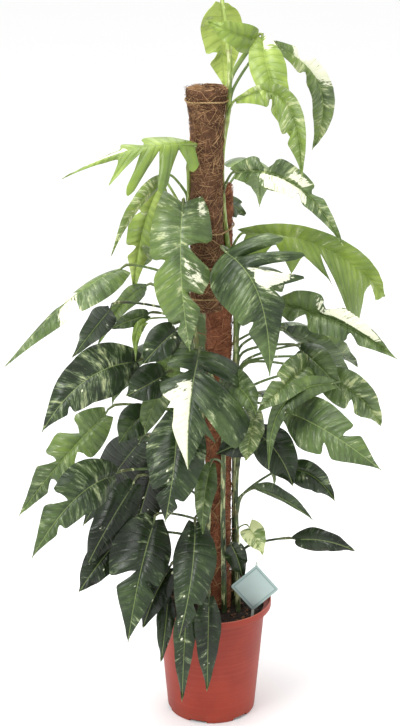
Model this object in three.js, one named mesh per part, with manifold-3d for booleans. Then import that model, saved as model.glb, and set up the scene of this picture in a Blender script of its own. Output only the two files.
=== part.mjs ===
// A potted variegated epipremnum pinnatum, climbing two coir poles that are tied one above the other.
// Millimetres, +Z up, the plant's front towards -Y. The origin is the centre of the pot's flat base.
import * as THREE from "three";
import { mergeVertices } from "three/addons/utils/BufferGeometryUtils.js";
import Module from "manifold-3d";

const wasm = await Module();
wasm.setup();

// Clearances
const GAP = 0.3; // between a piece and its seat
const MERGE = 1e-3; // points nearer than this are one
const SEAM = 0.02; // steps finer than this along a seam of leaf and petiole are smoothed

// Pot: a 24 cm nursery container
const POT = {
  height: 240,
  baseRadius: 88,
  bodyRadius: 109,
  lipRadius: 120,
  lipHeight: 15,
  lipWall: 2.4,
  lipRound: 1.2,
  lipShelf: 3, // thickness of the step from body to lip
  wall: 2.2,
  floor: 3,
  edgeRound: 3,
  sides: 32,
};
const DRAIN = { count: 6, radius: 5, ring: 48, sides: 8 };
const SLOT = { count: 6, width: 36, height: 6, depth: 9, turn: 12 };

// Soil
const SOIL = { topZ: 219, bumps: 3.2, sides: POT.sides, rings: 2 };

// Coir poles with their wooden cores
const CORE = { radius: 8, sides: 10, hole: 8.8, taper: 3, point: 12 };
const LOWER_POLE = { radius: 24.5, flare: 0, bottomZ: 60, topZ: 1085, sides: 12, rings: 8 };
const UPPER_POLE = { radius: 29.5, flare: 8, bottomZ: 860, topZ: 1277, sides: 14, rings: 7 };
const LOWER_AT = new THREE.Vector2(13, 6);
const UPPER_AT = new THREE.Vector2(-11, -44.5);
const CORE_SHOWS = 4; // length of core below the coir
const COIR_CAP = 22; // coir over the top of the core
const FLARES_FROM = 0.86; // share of its height where a pole starts to widen
const COIR_BEVEL = 3;
const COIR_ROUGH = 0.7;

// Twine round the poles
const TWINE = { radius: 1.6, sides: 4, around: 22, clear: 0.4 };
const TOP_TIE_Z = 1256;
const PAIR_TIES_Z = [885, 945, 1010];
const TIED_STEMS = ["stem_right", "stem_left", "stem_back"];

// Care label on its stake
const LABEL = { side: 68, thick: 0.8, turn: 4, lean: 5, cornerCut: 3 };
const STAKE = { width: 5, thick: 2, above: 6, bottomZ: 165 };

// Leaves and stems
const BLADE_THICK = 0.8;
const STEM_SIDES = 6;
const HOLE_SIDES = 8; // of the holes in the soil that the stems stand in
const PETIOLE_SIDES = 3;
const PETIOLE_STEPS = 4;
const ACROSS = 2; // cells across a small blade, one for each half
const ACROSS_LARGE = 4; // cells across a large blade
const STATIONS = [0, 0.14, 0.38, 0.64, 0.86, 1];
const STATION_APART = 0.1;
const COARSEST_CUT = 0.65; // cuts less deep than this are left to the finish
const SLANT_TURNS = 0.4; // where along the midrib the slant of the lobes has turned from base to tip
const NARROWS = [0.4, 0.55]; // where along the midrib a side takes its narrow share of the width

// The viewpoint of the photograph, which turns its pixels into millimetres at a given depth Y
const PHOTO = {
  eye: new THREE.Vector3(-23, -3400, 1900),
  focal: 1867,
  centreU: 200,
  centreV: 363,
  forward: new THREE.Vector3(0, 0.9461, -0.3239),
  up: new THREE.Vector3(0, 0.3239, 0.9461),
};
const TO_VIEWER = new THREE.Vector3(0, -0.95, 0.32).normalize();

// Point in the part's frame of the photograph's pixel (u, v) at depth y.
function at(u, v, y) {
  const ray = PHOTO.forward.clone();
  ray.addScaledVector(PHOTO.up, (PHOTO.centreV - v) / PHOTO.focal);
  ray.x += (u - PHOTO.centreU) / PHOTO.focal;
  return PHOTO.eye.clone().addScaledVector(ray, (y - PHOTO.eye.y) / ray.y);
}

const mm = (x, y, z) => new THREE.Vector3(x, y, z);
const lerp = THREE.MathUtils.lerp;
const clamp = THREE.MathUtils.clamp;
const rad = THREE.MathUtils.degToRad;

// Even, repeatable noise between -1 and 1
function ripple(a, b) {
  const s = Math.sin(a * 12.9898 + b * 78.233) * 43758.5453;
  return 2 * (s - Math.floor(s)) - 1;
}

function solid(geometry) {
  const bare = geometry.clone();
  bare.deleteAttribute("normal");
  bare.deleteAttribute("uv");
  const merged = mergeVertices(bare, MERGE);
  return new wasm.Manifold(
    new wasm.Mesh({
      numProp: 3,
      vertProperties: new Float32Array(merged.attributes.position.array),
      triVerts: new Uint32Array(merged.index.array),
    }),
  );
}

function union(solids) {
  return wasm.Manifold.union(solids);
}

function geometryOf(body) {
  const mesh = body.getMesh();
  const points = new Float32Array(mesh.numVert * 3);
  for (let i = 0; i < mesh.numVert; i += 1) {
    const from = i * mesh.numProp;
    points.set(mesh.vertProperties.subarray(from, from + 3), i * 3);
  }
  const geometry = new THREE.BufferGeometry();
  geometry.setAttribute("position", new THREE.BufferAttribute(points, 3));
  geometry.setIndex(new THREE.BufferAttribute(new Uint32Array(mesh.triVerts), 1));
  geometry.computeVertexNormals();
  return geometry;
}

// The largest connected body of a solid: booleans can leave loose scraps.
function mainBody(body) {
  const bodies = body.decompose();
  return bodies.reduce((best, b) => (b.volume() > best.volume() ? b : best));
}

function lathe(profile, sides) {
  const points = profile.map(([r, z]) => new THREE.Vector2(r, z));
  const geometry = new THREE.LatheGeometry(points, sides);
  return geometry.rotateX(Math.PI / 2);
}

// A rod of changing radius along a curve: a cylinder bent along it.
function rod(curve, radiusAt, sides, steps) {
  const geometry = new THREE.CylinderGeometry(1, 1, 1, sides, steps);
  const frames = curve.computeFrenetFrames(steps, false);
  const position = geometry.attributes.position;
  for (let i = 0; i < position.count; i += 1) {
    const t = clamp(position.getY(i) + 0.5, 0, 1);
    const ring = Math.round(t * steps);
    const reach = radiusAt(t);
    const point = curve.getPointAt(t);
    point.addScaledVector(frames.normals[ring], position.getZ(i) * reach);
    point.addScaledVector(frames.binormals[ring], position.getX(i) * reach);
    position.setXYZ(i, point.x, point.y, point.z);
  }
  return geometry;
}

// Pot

function potInnerRadius(z) {
  return lerp(POT.baseRadius, POT.bodyRadius, z / POT.height) - POT.wall;
}

function makePot() {
  const lipZ = POT.height - POT.lipHeight;
  const underLip = lerp(POT.baseRadius, POT.bodyRadius, lipZ / POT.height);
  const body = solid(
    lathe(
      [
        [0, 0],
        [POT.baseRadius - POT.edgeRound, 0],
        [POT.baseRadius, POT.edgeRound],
        [underLip, lipZ - POT.lipRound],
        [POT.lipRadius - POT.lipWall, lipZ],
        [POT.lipRadius, lipZ + POT.lipRound],
        [POT.lipRadius, POT.height - POT.lipRound],
        [POT.lipRadius - POT.lipRound, POT.height],
        [POT.lipRadius - POT.lipWall, POT.height - POT.lipRound],
        [POT.lipRadius - POT.lipWall, lipZ + POT.lipShelf],
        [potInnerRadius(lipZ + POT.lipRound), lipZ + POT.lipRound],
        [potInnerRadius(POT.floor), POT.floor],
        [0, POT.floor],
      ],
      POT.sides,
    ),
  );
  const cutters = [];
  for (let i = 0; i < DRAIN.count; i += 1) {
    const angle = (i / DRAIN.count) * 2 * Math.PI;
    const hole = new THREE.CylinderGeometry(DRAIN.radius, DRAIN.radius, 4 * POT.floor, DRAIN.sides);
    hole.rotateX(Math.PI / 2);
    hole.translate(DRAIN.ring * Math.cos(angle), DRAIN.ring * Math.sin(angle), 0);
    cutters.push(solid(hole));
  }
  for (let i = 0; i < SLOT.count; i += 1) {
    const slot = new THREE.BoxGeometry(2 * SLOT.depth, SLOT.width, 2 * SLOT.height);
    slot.translate(POT.baseRadius, 0, 0);
    slot.rotateZ(rad((i / SLOT.count) * 360 + SLOT.turn));
    cutters.push(solid(slot));
  }
  return body.subtract(union(cutters));
}

// Soil: fills the pot, with a crumbly top

function makeSoil(stemSolids) {
  const lowZ = POT.floor + GAP;
  const edge = (z) => potInnerRadius(z) - GAP;
  const profile = [
    [0, lowZ],
    [edge(lowZ) - 0.4, lowZ],
    [edge(lowZ + 1) - 0.2, lowZ + 1],
    [edge(SOIL.topZ - 8) - 0.1, SOIL.topZ - 8],
  ];
  for (let i = 0; i < SOIL.rings; i += 1) {
    profile.push([edge(SOIL.topZ) * (1 - i / SOIL.rings), SOIL.topZ]);
  }
  profile.push([0, SOIL.topZ]);
  const geometry = lathe(profile, SOIL.sides);
  const position = geometry.attributes.position;
  for (let i = 0; i < position.count; i += 1) {
    if (position.getZ(i) > SOIL.topZ - 1) {
      const x = position.getX(i);
      const y = position.getY(i);
      const lump = Math.sin(x * 0.11 + 1) * Math.cos(y * 0.13) + 0.6 * Math.sin(x * 0.23 - y * 0.19);
      position.setZ(i, SOIL.topZ + SOIL.bumps * lump);
    }
  }
  return mainBody(solid(geometry).subtract(union(stemSolids)));
}

// Coir pole: a sleeve of coir round a wooden core, open at the bottom only

function makePole(pole, place) {
  const bore = CORE.radius + GAP;
  const profile = [[bore, pole.bottomZ]];
  for (let i = 0; i <= pole.rings; i += 1) {
    const t = i / pole.rings;
    const swell = COIR_ROUGH * ripple(i, pole.radius);
    const flare = pole.flare * Math.max(0, (t - FLARES_FROM) / (1 - FLARES_FROM));
    profile.push([pole.radius + swell + flare, lerp(pole.bottomZ, pole.topZ - COIR_BEVEL, t)]);
  }
  profile.push([pole.radius + pole.flare - COIR_BEVEL, pole.topZ]);
  profile.push([0, pole.topZ - 2]);
  profile.push([0, pole.topZ - COIR_CAP]);
  profile.push([bore, pole.topZ - COIR_CAP]);
  profile.push([bore, pole.bottomZ]);
  const geometry = lathe(profile, pole.sides);
  return solid(geometry.translate(place.x, place.y, 0));
}

function makeCore(pole, place) {
  const top = pole.topZ - COIR_CAP - GAP;
  const bottom = pole.bottomZ - CORE_SHOWS;
  const geometry = lathe(
    [
      [0, bottom],
      [CORE.radius - CORE.taper, bottom],
      [CORE.radius, bottom + CORE.point],
      [CORE.radius, top],
      [0, top],
    ],
    CORE.sides,
  );
  return solid(geometry.translate(place.x, place.y, 0));
}

// Twine: a ring of cord pulled to the outline of the poles it holds

function makeTie(z, rounds, thick) {
  const span = 100; // of the round ring before it is pulled tight
  const ring = new THREE.TorusGeometry(span, thick, TWINE.sides, TWINE.around);
  const position = ring.attributes.position;
  const centre = new THREE.Vector2();
  rounds.forEach((r) => centre.addScaledVector(r.at, 1 / rounds.length));
  for (let i = 0; i < position.count; i += 1) {
    const around = new THREE.Vector2(position.getX(i), position.getY(i));
    const angle = around.angle();
    const outward = new THREE.Vector2(Math.cos(angle), Math.sin(angle));
    const out = around.length() - span;
    // Support of the hull of the circles, then the point where its tangent touches
    let reach = -Infinity;
    let touch = centre;
    rounds.forEach((r) => {
      const support = r.at.clone().sub(centre).dot(outward) + r.radius;
      if (support > reach) {
        reach = support;
        touch = r;
      }
    });
    const seat = touch.radius + GAP + TWINE.radius + COIR_ROUGH + TWINE.clear + out;
    const point = touch.at.clone().addScaledVector(outward, seat);
    position.setXYZ(i, point.x, point.y, z + position.getZ(i));
  }
  return solid(ring);
}

// Leaves

// Half-width of a blade along the midrib, as a share of its widest half-width
function envelope(t, widest, baseShare) {
  if (t < widest) {
    return lerp(baseShare, 1, Math.sin((Math.PI / 2) * (t / widest)));
  }
  const past = (t - widest) / (1 - widest);
  return Math.max(0.02, Math.cos((Math.PI / 2) * past) ** 1.15);
}

// Share of the half-width that a cut leaves at t
function cutShare(cuts, side, t) {
  let share = 1;
  cuts.forEach(([cutSide, place, depth, open = 0.05]) => {
    if (cutSide === side) {
      const near = 1 - Math.abs(t - place) / (open / 2);
      share = Math.min(share, 1 - depth * clamp(near, 0, 1));
    }
  });
  return share;
}

// Places along the midrib where the blade's shape is worked out: at its cuts, and evenly between
function stationsOf(leaf) {
  const marks = [];
  leaf.cuts.forEach(([, place, , open = 0.05]) => {
    marks.push(place - open / 2, place, place + open / 2);
  });
  STATIONS.forEach((t) => {
    const ends = t === 0 || t === 1;
    if (ends || marks.every((m) => Math.abs(m - t) > STATION_APART)) marks.push(t);
  });
  marks.sort((a, b) => a - b);
  return marks.filter((m, i) => i === 0 || m - marks[i - 1] > 0.012);
}

function midribOf(leaf) {
  const control = leaf.mid.clone().multiplyScalar(2);
  control.addScaledVector(leaf.base, -0.5);
  control.addScaledVector(leaf.tip, -0.5);
  return new THREE.QuadraticBezierCurve3(leaf.base, control, leaf.tip);
}

// Point of the blade at t along the midrib and u across it: -1 and 1 are the margins, 1 on the
// right hand of someone who walks on the face from the base to the tip.
function bladePoint(leaf, rib, t, u) {
  const point = rib.getPoint(t);
  const along = rib.getTangent(t);
  const right = new THREE.Vector3().crossVectors(along, leaf.face).normalize();
  const out = new THREE.Vector3().crossVectors(right, along);
  const side = u >= 0 ? 0 : 1;
  const share = Math.abs(u);
  const open = rad(leaf.open[side]);
  const narrowed = lerp(1, leaf.narrow[side], THREE.MathUtils.smoothstep(t, ...NARROWS));
  const reach = leaf.width[side] * envelope(t, leaf.widest, leaf.baseShare) * narrowed * share;
  const kept = reach * cutShare(leaf.cuts, side, t);
  const turned = clamp(t / SLANT_TURNS, 0, 1);
  const slant = rad(lerp(leaf.slantBase[side], leaf.slantTip[side], turned));
  const away = right.clone().multiplyScalar(side === 0 ? 1 : -1);
  const bend = open - rad(leaf.curl) * share;
  point.addScaledVector(away, kept * Math.cos(slant) * Math.cos(bend));
  point.addScaledVector(out, kept * Math.cos(slant) * Math.sin(bend));
  point.addScaledVector(along, kept * Math.sin(slant));
  const phase = leaf.phase + side * 2.1;
  const wave = leaf.wave * share * share * Math.sin(2 * Math.PI * 2.2 * t + phase);
  return point.addScaledVector(out, wave);
}

// Closed slab of a blade: a plane bent to the leaf's form, its copy below, and the wall between
function bladeSolid(leaf) {
  const rib = midribOf(leaf);
  const stations = stationsOf(leaf);
  const rows = stations.length - 1;
  const across = leaf.large ? ACROSS_LARGE : ACROSS;
  const sheet = new THREE.PlaneGeometry(2, 1, across, rows);
  const position = sheet.attributes.position;
  const columns = across + 1;
  for (let i = 0; i < position.count; i += 1) {
    const t = stations[Math.floor(i / columns)];
    const point = bladePoint(leaf, rib, t, position.getX(i));
    position.setXYZ(i, point.x, point.y, point.z);
  }
  sheet.computeVertexNormals();
  const normal = sheet.attributes.normal;
  const count = position.count;
  const points = new Float32Array(count * 6);
  for (let i = 0; i < count; i += 1) {
    const n = new THREE.Vector3().fromBufferAttribute(normal, i);
    const p = new THREE.Vector3().fromBufferAttribute(position, i);
    p.clone().addScaledVector(n, BLADE_THICK / 2).toArray(points, i * 3);
    p.clone().addScaledVector(n, -BLADE_THICK / 2).toArray(points, (count + i) * 3);
  }
  const faces = sheet.index.array;
  const index = [...faces];
  for (let i = 0; i < faces.length; i += 3) {
    index.push(count + faces[i], count + faces[i + 2], count + faces[i + 1]);
  }
  const edge = [];
  for (let c = 0; c < columns; c += 1) edge.push(c);
  for (let r = 1; r <= rows; r += 1) edge.push(r * columns + columns - 1);
  for (let c = columns - 2; c >= 0; c -= 1) edge.push(rows * columns + c);
  for (let r = rows - 1; r > 0; r -= 1) edge.push(r * columns);
  edge.forEach((a, i) => {
    const b = edge[(i + 1) % edge.length];
    index.push(a, b, count + a, b, count + b, count + a);
  });
  const slab = new THREE.BufferGeometry();
  slab.setAttribute("position", new THREE.BufferAttribute(points, 3));
  slab.setIndex(index);
  return solid(slab);
}

// Petiole from its stem up and out to the blade, running on under the midrib
function petioleSolid(leaf, root) {
  const rib = midribOf(leaf);
  const start = rib.getTangent(0);
  const outward = new THREE.Vector3().crossVectors(
    new THREE.Vector3().crossVectors(start, leaf.face).normalize(),
    start,
  );
  const under = (t, depth) => rib.getPoint(t).addScaledVector(outward, -depth);
  const rise = root.distanceTo(leaf.base);
  const first = root.clone().add(new THREE.Vector3(0, 0, rise * 0.28));
  const reach = leaf.base.clone().sub(root).setZ(0);
  first.addScaledVector(reach, 0.12);
  const knee = leaf.base.clone().addScaledVector(start, -rise * 0.12);
  knee.z += rise * 0.06;
  const points = [root, first, knee.lerp(under(0, 1), 0.35), under(0.02, 1.3), under(0.09, 1)];
  const curve = new THREE.CatmullRomCurve3(points, false, "centripetal");
  const thick = leaf.stalk;
  const radiusAt = (t) => thick * lerp(1.15, t > 0.9 ? 0.42 : 0.75, t);
  return solid(rod(curve, radiusAt, PETIOLE_SIDES, PETIOLE_STEPS));
}

const LEAF_DEFAULTS = {
  face: TO_VIEWER,
  width: [55, 55],
  open: [20, 20],
  curl: 25,
  wave: 5,
  phase: 0,
  widest: 0.3,
  baseShare: 0.34,
  slantBase: [-32, -32],
  slantTip: [34, 34],
  narrow: [1, 1], // share of the width kept towards the tip
  cuts: [],
  large: false,
  stalk: 2.7,
  drop: 80, // how far below the blade's base its petiole leaves the stem
};

// The leafy stems. Each has the line of its stem and its leaves, from the top down. A leaf says
// where its base, the middle of its midrib and its tip are, then what differs from the defaults.
// cuts: [side (0 right, 1 left), place along the midrib, depth, width of the mouth].
const UP_LEFT = new THREE.Vector3(-0.3, 0.45, 1).normalize();
const UP_RIGHT = new THREE.Vector3(0.3, 0.45, 1).normalize();
const UP_BACK = new THREE.Vector3(0, 0.75, 0.8).normalize();

const STEMS = [
  {
    name: "stem_right",
    radius: [6.5, 4.5],
    line: [
      mm(46, 12, 190), mm(46, 8, 420), mm(45, 4, 650), mm(44, -6, 860), at(225, 225, -28),
      at(222, 185, -36), at(222.5, 150, -39), at(228, 112, -42), at(229, 88, -40),
      at(230, 62, -30), at(227, 40, -18),
    ],
    leaves: [
      {
        id: "crown_hanging", large: true, base: at(222, 4, 4), mid: at(222, 44, 44), tip: at(225, 88, 40),
        width: [40, 40], open: [-15, -15], curl: -20, cuts: [[0, 0.55, 0.6, 0.1]], drop: 70,
        stalk: 3.4,
      },
      {
        id: "crown_folded", large: true, base: at(255, 40, -36), mid: at(234, 33, -70), tip: at(206, 21, -60),
        width: [24, 28], open: [35, 15], widest: 0.25, baseShare: 0.6, drop: 95, stalk: 3.2,
      },
      {
        id: "crown_lime", large: true, base: at(262, 38, -30), mid: at(272, 85, -92), tip: at(294, 142, -112),
        width: [32, 36], open: [25, 20], cuts: [[0, 0.6, 0.5, 0.08], [1, 0.62, 0.5, 0.08]], drop: 90,
      },
      {
        id: "crown_arching", large: true, base: at(276, 46, -2), mid: at(320, 88, 40), tip: at(312, 150, 80),
        width: [26, 30], open: [25, 10], widest: 0.55, cuts: [[1, 0.2, 0.7, 0.08], [0, 0.3, 0.5, 0.08]],
        drop: 110,
      },
      {
        id: "upper_streaked", large: true, base: at(236, 101, -68), mid: at(285, 101, -125), tip: at(302, 177, -165),
        width: [40, 26], open: [20, 66], widest: 0.55, baseShare: 0.12,
        cuts: [[0, 0.32, 0.8, 0.08], [0, 0.72, 0.5, 0.06]], drop: 45,
      },
      {
        id: "upper_white", large: true, base: at(236, 173, -78), mid: at(294, 184, -140), tip: at(344, 247, -170),
        width: [32, 34], open: [34, 48],
        cuts: [[1, 0.24, 0.8, 0.1], [1, 0.62, 0.5, 0.07], [0, 0.17, 0.75, 0.07], [0, 0.55, 0.5, 0.06]],
        drop: 60,
      },
      {
        id: "behind_pole", base: at(228, 204, 14), mid: at(236, 207, 50), tip: at(245, 216, 75),
        width: [24, 18], drop: 40, stalk: 1.8,
      },
      {
        id: "front_marbled", large: true, base: at(225, 252, -128), mid: at(259, 296, -205), tip: at(270, 376, -225),
        width: [76, 124], open: [10, 10], phase: 1, widest: 0.18, baseShare: 0.72,
        slantBase: [-12, 34], slantTip: [30, 38], narrow: [1, 0.48],
        cuts: [[1, 0.1, 0.85, 0.05], [1, 0.23, 0.8, 0.09], [1, 0.4, 0.7, 0.28], [0, 0.62, 0.3, 0.05]],
        drop: 70,
      },
      {
        id: "right_lobed", large: true, base: at(246, 234, -58), mid: at(322, 247, -95), tip: at(385, 296, -60),
        width: [160, 50], open: [-14, 66], curl: 8, widest: 0.6, slantTip: [46, 24],
        cuts: [[0, 0.18, 0.8, 0.14], [0, 0.33, 0.75, 0.34], [0, 0.46, 0.85, 0.08], [0, 0.88, 0.85, 0.1]],
        drop: 60,
      },
      {
        id: "right_cream", large: true, base: at(281, 304, -62), mid: at(338, 322, -135), tip: at(397, 359, -150),
        width: [40, 40], open: [42, 54], phase: 2,
        cuts: [[0, 0.22, 0.7, 0.1], [0, 0.6, 0.6, 0.08], [1, 0.36, 0.5, 0.08]], drop: 90,
      },
      {
        id: "right_grey", base: at(286, 331, 0), mid: at(322, 354, 40), tip: at(354, 385, 95),
        width: [40, 40], open: [-55, 60], drop: 60,
      },
      {
        id: "right_middle", base: at(300, 350, -50), mid: at(319, 366, -95), tip: at(340, 390, -110),
        width: [36, 34], open: [10, 20], drop: 60,
      },
      {
        id: "right_small", base: at(312, 347, 20), mid: at(336, 352, 70), tip: at(358, 367, 120),
        width: [34, 30], open: [-40, 45], drop: 70,
      },
      {
        id: "right_pale", base: at(322, 377, -50), mid: at(358, 396, -70), tip: at(381, 426, -50),
        width: [40, 38], open: [25, 50], cuts: [[0, 0.4, 0.5, 0.08]], drop: 100,
      },
      {
        id: "right_streaked", base: at(309, 364, -75), mid: at(286, 384, -150), tip: at(257, 412, -185),
        width: [36, 36], open: [45, 45], cuts: [[0, 0.5, 0.5, 0.08]], drop: 70,
      },
      {
        id: "right_hanging", base: at(334, 384, -120), mid: at(284, 404, -170), tip: at(269, 469, -180),
        width: [22, 24], open: [30, 30], cuts: [[1, 0.5, 0.5, 0.08]], drop: 60,
      },
      {
        id: "right_green", large: true, base: at(286, 412, -95), mid: at(328, 432, -190), tip: at(381, 470, -225),
        width: [56, 52], open: [12, 12], phase: 3,
        cuts: [[1, 0.6, 0.65, 0.08], [0, 0.45, 0.4, 0.06]], drop: 60,
      },
    ],
  },
  {
    name: "stem_left",
    radius: [6, 4],
    line: [
      mm(-20, 10, 190), mm(-20, 4, 420), mm(-20, 0, 650), mm(-32, -26, 800), mm(-48, -42, 900),
      mm(-48, -46, 1000), at(189, 190, -46), at(188, 160, -50),
    ],
    leaves: [
      {
        id: "left_finger", large: true, base: at(194, 145, -88), mid: at(128, 151, -140), tip: at(62, 179, -130),
        width: [46, 108], open: [-52, 14], curl: 10, slantBase: [-32, -10], slantTip: [34, 50],
        narrow: [0.35, 0.16],
        cuts: [[1, 0.11, 0.85, 0.1], [1, 0.25, 0.88, 0.09], [1, 0.38, 0.85, 0.08], [0, 0.34, 0.6, 0.08]],
        drop: 45,
      },
      {
        id: "left_strip", base: at(168, 177, -34), mid: at(136, 208, -80), tip: at(111, 257, -100),
        width: [19, 17], open: [45, -40], drop: 45,
      },
      {
        id: "left_lime", large: true, base: at(160, 183, 10), mid: at(142, 234, 40), tip: at(134, 292, 62),
        width: [36, 34], open: [25, 20],
        cuts: [[0, 0.6, 0.7, 0.08], [1, 0.6, 0.7, 0.08], [0, 0.3, 0.5, 0.07]], drop: 75,
      },
      {
        id: "front_key", large: true, base: at(183, 203, -92), mid: at(181, 272, -150), tip: at(190, 351, -165),
        width: [62, 68], open: [12, 3], phase: 0.5, widest: 0.42, baseShare: 0.72, narrow: [1, 0.8],
        cuts: [[1, 0.3, 0.72, 0.1], [1, 0.62, 0.7, 0.08], [0, 0.8, 0.5, 0.05], [0, 0.36, 0.35, 0.04]],
        drop: 70,
      },
      {
        id: "left_far", large: true, base: at(122, 269, -66), mid: at(68, 301, -120), tip: at(3, 369, -130),
        width: [48, 46], open: [-58, 54],
        cuts: [[0, 0.5, 0.85, 0.1], [1, 0.46, 0.85, 0.1]], drop: 70,
      },
      {
        id: "left_dark", base: at(146, 287, 16), mid: at(121, 306, 60), tip: at(97, 347, 110),
        width: [18, 20], open: [30, 30], drop: 70,
      },
      {
        id: "left_gloss", base: at(110, 310, -20), mid: at(94, 329, 10), tip: at(72, 358, 45),
        width: [27, 27], drop: 60,
      },
      {
        id: "left_small", base: at(148, 315, -40), mid: at(129, 321, -64), tip: at(111, 329, -66),
        width: [18, 16], drop: 50,
      },
      {
        id: "left_sliver", base: at(146, 322, -60), mid: at(137, 334, -78), tip: at(136, 361, -84),
        width: [11, 10], drop: 40, stalk: 1.8,
      },
      {
        id: "left_marbled", large: true, base: at(138, 362, -66), mid: at(86, 380, -150), tip: at(42, 432, -185),
        width: [52, 56], open: [14, 14], phase: 1.5,
        cuts: [[1, 0.7, 0.3, 0.04]], drop: 70,
      },
      {
        id: "left_shaded", base: at(176, 331, -68), mid: at(160, 345, -105), tip: at(143, 364, -115),
        width: [34, 32], drop: 50,
      },
      {
        id: "left_star", base: at(146, 414, -24), mid: at(133, 424, -50), tip: at(119, 443, -62),
        width: [34, 32], drop: 40,
      },
      {
        id: "left_round", base: at(165, 375, -64), mid: at(147, 385, -96), tip: at(126, 396, -104),
        width: [38, 34], drop: 60,
      },
      {
        id: "left_olive", base: at(172, 352, -44), mid: at(155, 402, -50), tip: at(138, 440, -50),
        width: [30, 32], drop: 60,
      },
      {
        id: "left_lobed", large: true, base: at(106, 415, -40), mid: at(63, 459, -70), tip: at(19, 516, -60),
        width: [46, 42], open: [25, 25],
        cuts: [[0, 0.26, 0.7, 0.09], [0, 0.52, 0.7, 0.09], [1, 0.36, 0.6, 0.09], [1, 0.66, 0.6, 0.08]],
        drop: 80,
      },
    ],
  },
  {
    name: "stem_front",
    radius: [5.5, 4],
    line: [mm(26, -26, 190), mm(22, -27, 420), mm(18, -28, 640), at(207, 362, -52)],
    leaves: [
      {
        id: "front_white", large: true, base: at(200, 350, -92), mid: at(190, 406, -200), tip: at(188, 469, -245),
        width: [68, 140], open: [14, 6], phase: 0.3, baseShare: 0.6, slantBase: [6, -8],
        slantTip: [34, 50], narrow: [0.7, 0.42],
        cuts: [[1, 0.14, 0.85, 0.07], [1, 0.42, 0.8, 0.07], [0, 0.18, 0.75, 0.06], [0, 0.42, 0.45, 0.36]],
        drop: 50,
      },
      {
        id: "front_fold", base: at(222, 381, -66), mid: at(242, 390, -130), tip: at(256, 414, -160),
        width: [34, 32], open: [20, 30], drop: 50,
      },
      {
        id: "front_grey", large: true, base: at(177, 414, -92), mid: at(174, 466, -175), tip: at(165, 522, -205),
        width: [60, 62], open: [8, 8], phase: 2.5, cuts: [[0, 0.66, 0.6, 0.05], [1, 0.76, 0.4, 0.05]],
        drop: 40,
      },
      {
        id: "front_stripe", base: at(256, 411, -76), mid: at(250, 436, -125), tip: at(246, 461, -150),
        width: [30, 26], drop: 60,
      },
      {
        id: "front_narrow", base: at(211, 464, -84), mid: at(204, 500, -130), tip: at(203, 534, -150),
        width: [22, 22], drop: 40,
      },
    ],
  },
  {
    name: "stem_low_left",
    radius: [5.5, 4],
    line: [mm(-10, -25, 190), mm(-9, -26, 330), mm(-6, -28, 460), mm(-8, -34, 540)],
    leaves: [
      {
        id: "low_dark", base: at(141, 441, 0), mid: at(112, 478, 40), tip: at(83, 526, 70),
        width: [50, 48], open: [10, 15], drop: 90,
      },
      {
        id: "low_ribbed", large: true, base: at(115, 476, -95), mid: at(74, 500, -190), tip: at(32, 558, -225),
        width: [54, 44], open: [18, 18], phase: 1.1,
        cuts: [[0, 0.52, 0.75, 0.1], [1, 0.7, 0.4, 0.06]], drop: 80,
      },
      {
        id: "low_behind", base: at(134, 484, -44), mid: at(108, 526, -90), tip: at(86, 568, -110),
        width: [40, 40], open: [10, 10], drop: 60,
      },
      {
        id: "low_wavy", base: at(116, 543, -66), mid: at(97, 566, -110), tip: at(79, 592, -130),
        width: [34, 34], open: [10, 10], wave: 8, drop: 60,
      },
      {
        id: "low_backing", base: at(158, 452, 34), mid: at(144, 500, 60), tip: at(128, 556, 80),
        width: [50, 50], open: [10, 10], drop: 70,
      },
      {
        id: "low_black", base: at(170, 568, -96), mid: at(154, 598, -140), tip: at(143, 628, -155),
        width: [30, 28], rootZ: 330,
      },
      {
        id: "low_large", large: true, base: at(155, 520, -76), mid: at(140, 574, -165), tip: at(128, 642, -200),
        width: [70, 52], open: [12, 18], phase: 0.8, narrow: [0.8, 1],
        cuts: [[0, 0.46, 0.8, 0.08], [1, 0.5, 0.4, 0.05]], drop: 60,
      },
      {
        id: "low_front", large: true, base: at(195, 523, -112), mid: at(191, 580, -200), tip: at(179, 638, -225),
        width: [42, 48], open: [8, 8], phase: 2.2, cuts: [[1, 0.66, 0.4, 0.06]], drop: 40,
      },
      {
        id: "hanging_left", base: at(187, 606, -136), mid: at(184, 652, -172), tip: at(182, 702, -166),
        width: [24, 22], rootZ: 300,
      },
      {
        id: "hanging_front", base: at(209, 598, -134), mid: at(208, 645, -176), tip: at(207, 691, -172),
        width: [28, 26], rootZ: 320,
      },
      {
        id: "over_rim", base: at(168, 598, -102), mid: at(165, 630, -146), tip: at(161, 662, -150),
        width: [20, 18], rootZ: 280,
      },
    ],
  },
  {
    name: "stem_low_right",
    radius: [5, 3.5],
    line: [mm(53, -19, 190), mm(52, -20, 330), mm(48, -22, 470), mm(52, -26, 560)],
    leaves: [
      {
        id: "right_dark", base: at(256, 432, -40), mid: at(278, 454, -85), tip: at(293, 486, -105),
        width: [44, 42], open: [5, 10], drop: 30,
      },
      {
        id: "right_folded", base: at(290, 470, -42), mid: at(314, 477, -60), tip: at(335, 501, -50),
        width: [32, 28], open: [20, 50], drop: 100,
      },
      {
        id: "right_narrow", base: at(257, 490, -70), mid: at(284, 500, -130), tip: at(313, 520, -160),
        width: [26, 26], open: [-50, 55], drop: 60,
      },
      {
        id: "right_low_dark", base: at(262, 438, -30), mid: at(242, 443, -60), tip: at(216, 454, -80),
        width: [36, 34], open: [5, 5], drop: 60,
      },
      {
        id: "right_oval", base: at(295, 540, -56), mid: at(325, 541, -95), tip: at(355, 551, -105),
        width: [26, 25], open: [5, 12], drop: 70,
      },
      {
        id: "right_heart", base: at(249, 528, -72), mid: at(256, 539, -90), tip: at(263, 555, -96),
        width: [22, 24], baseShare: 0.75, widest: 0.2, stalk: 1.6, drop: 40,
      },
      {
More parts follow.
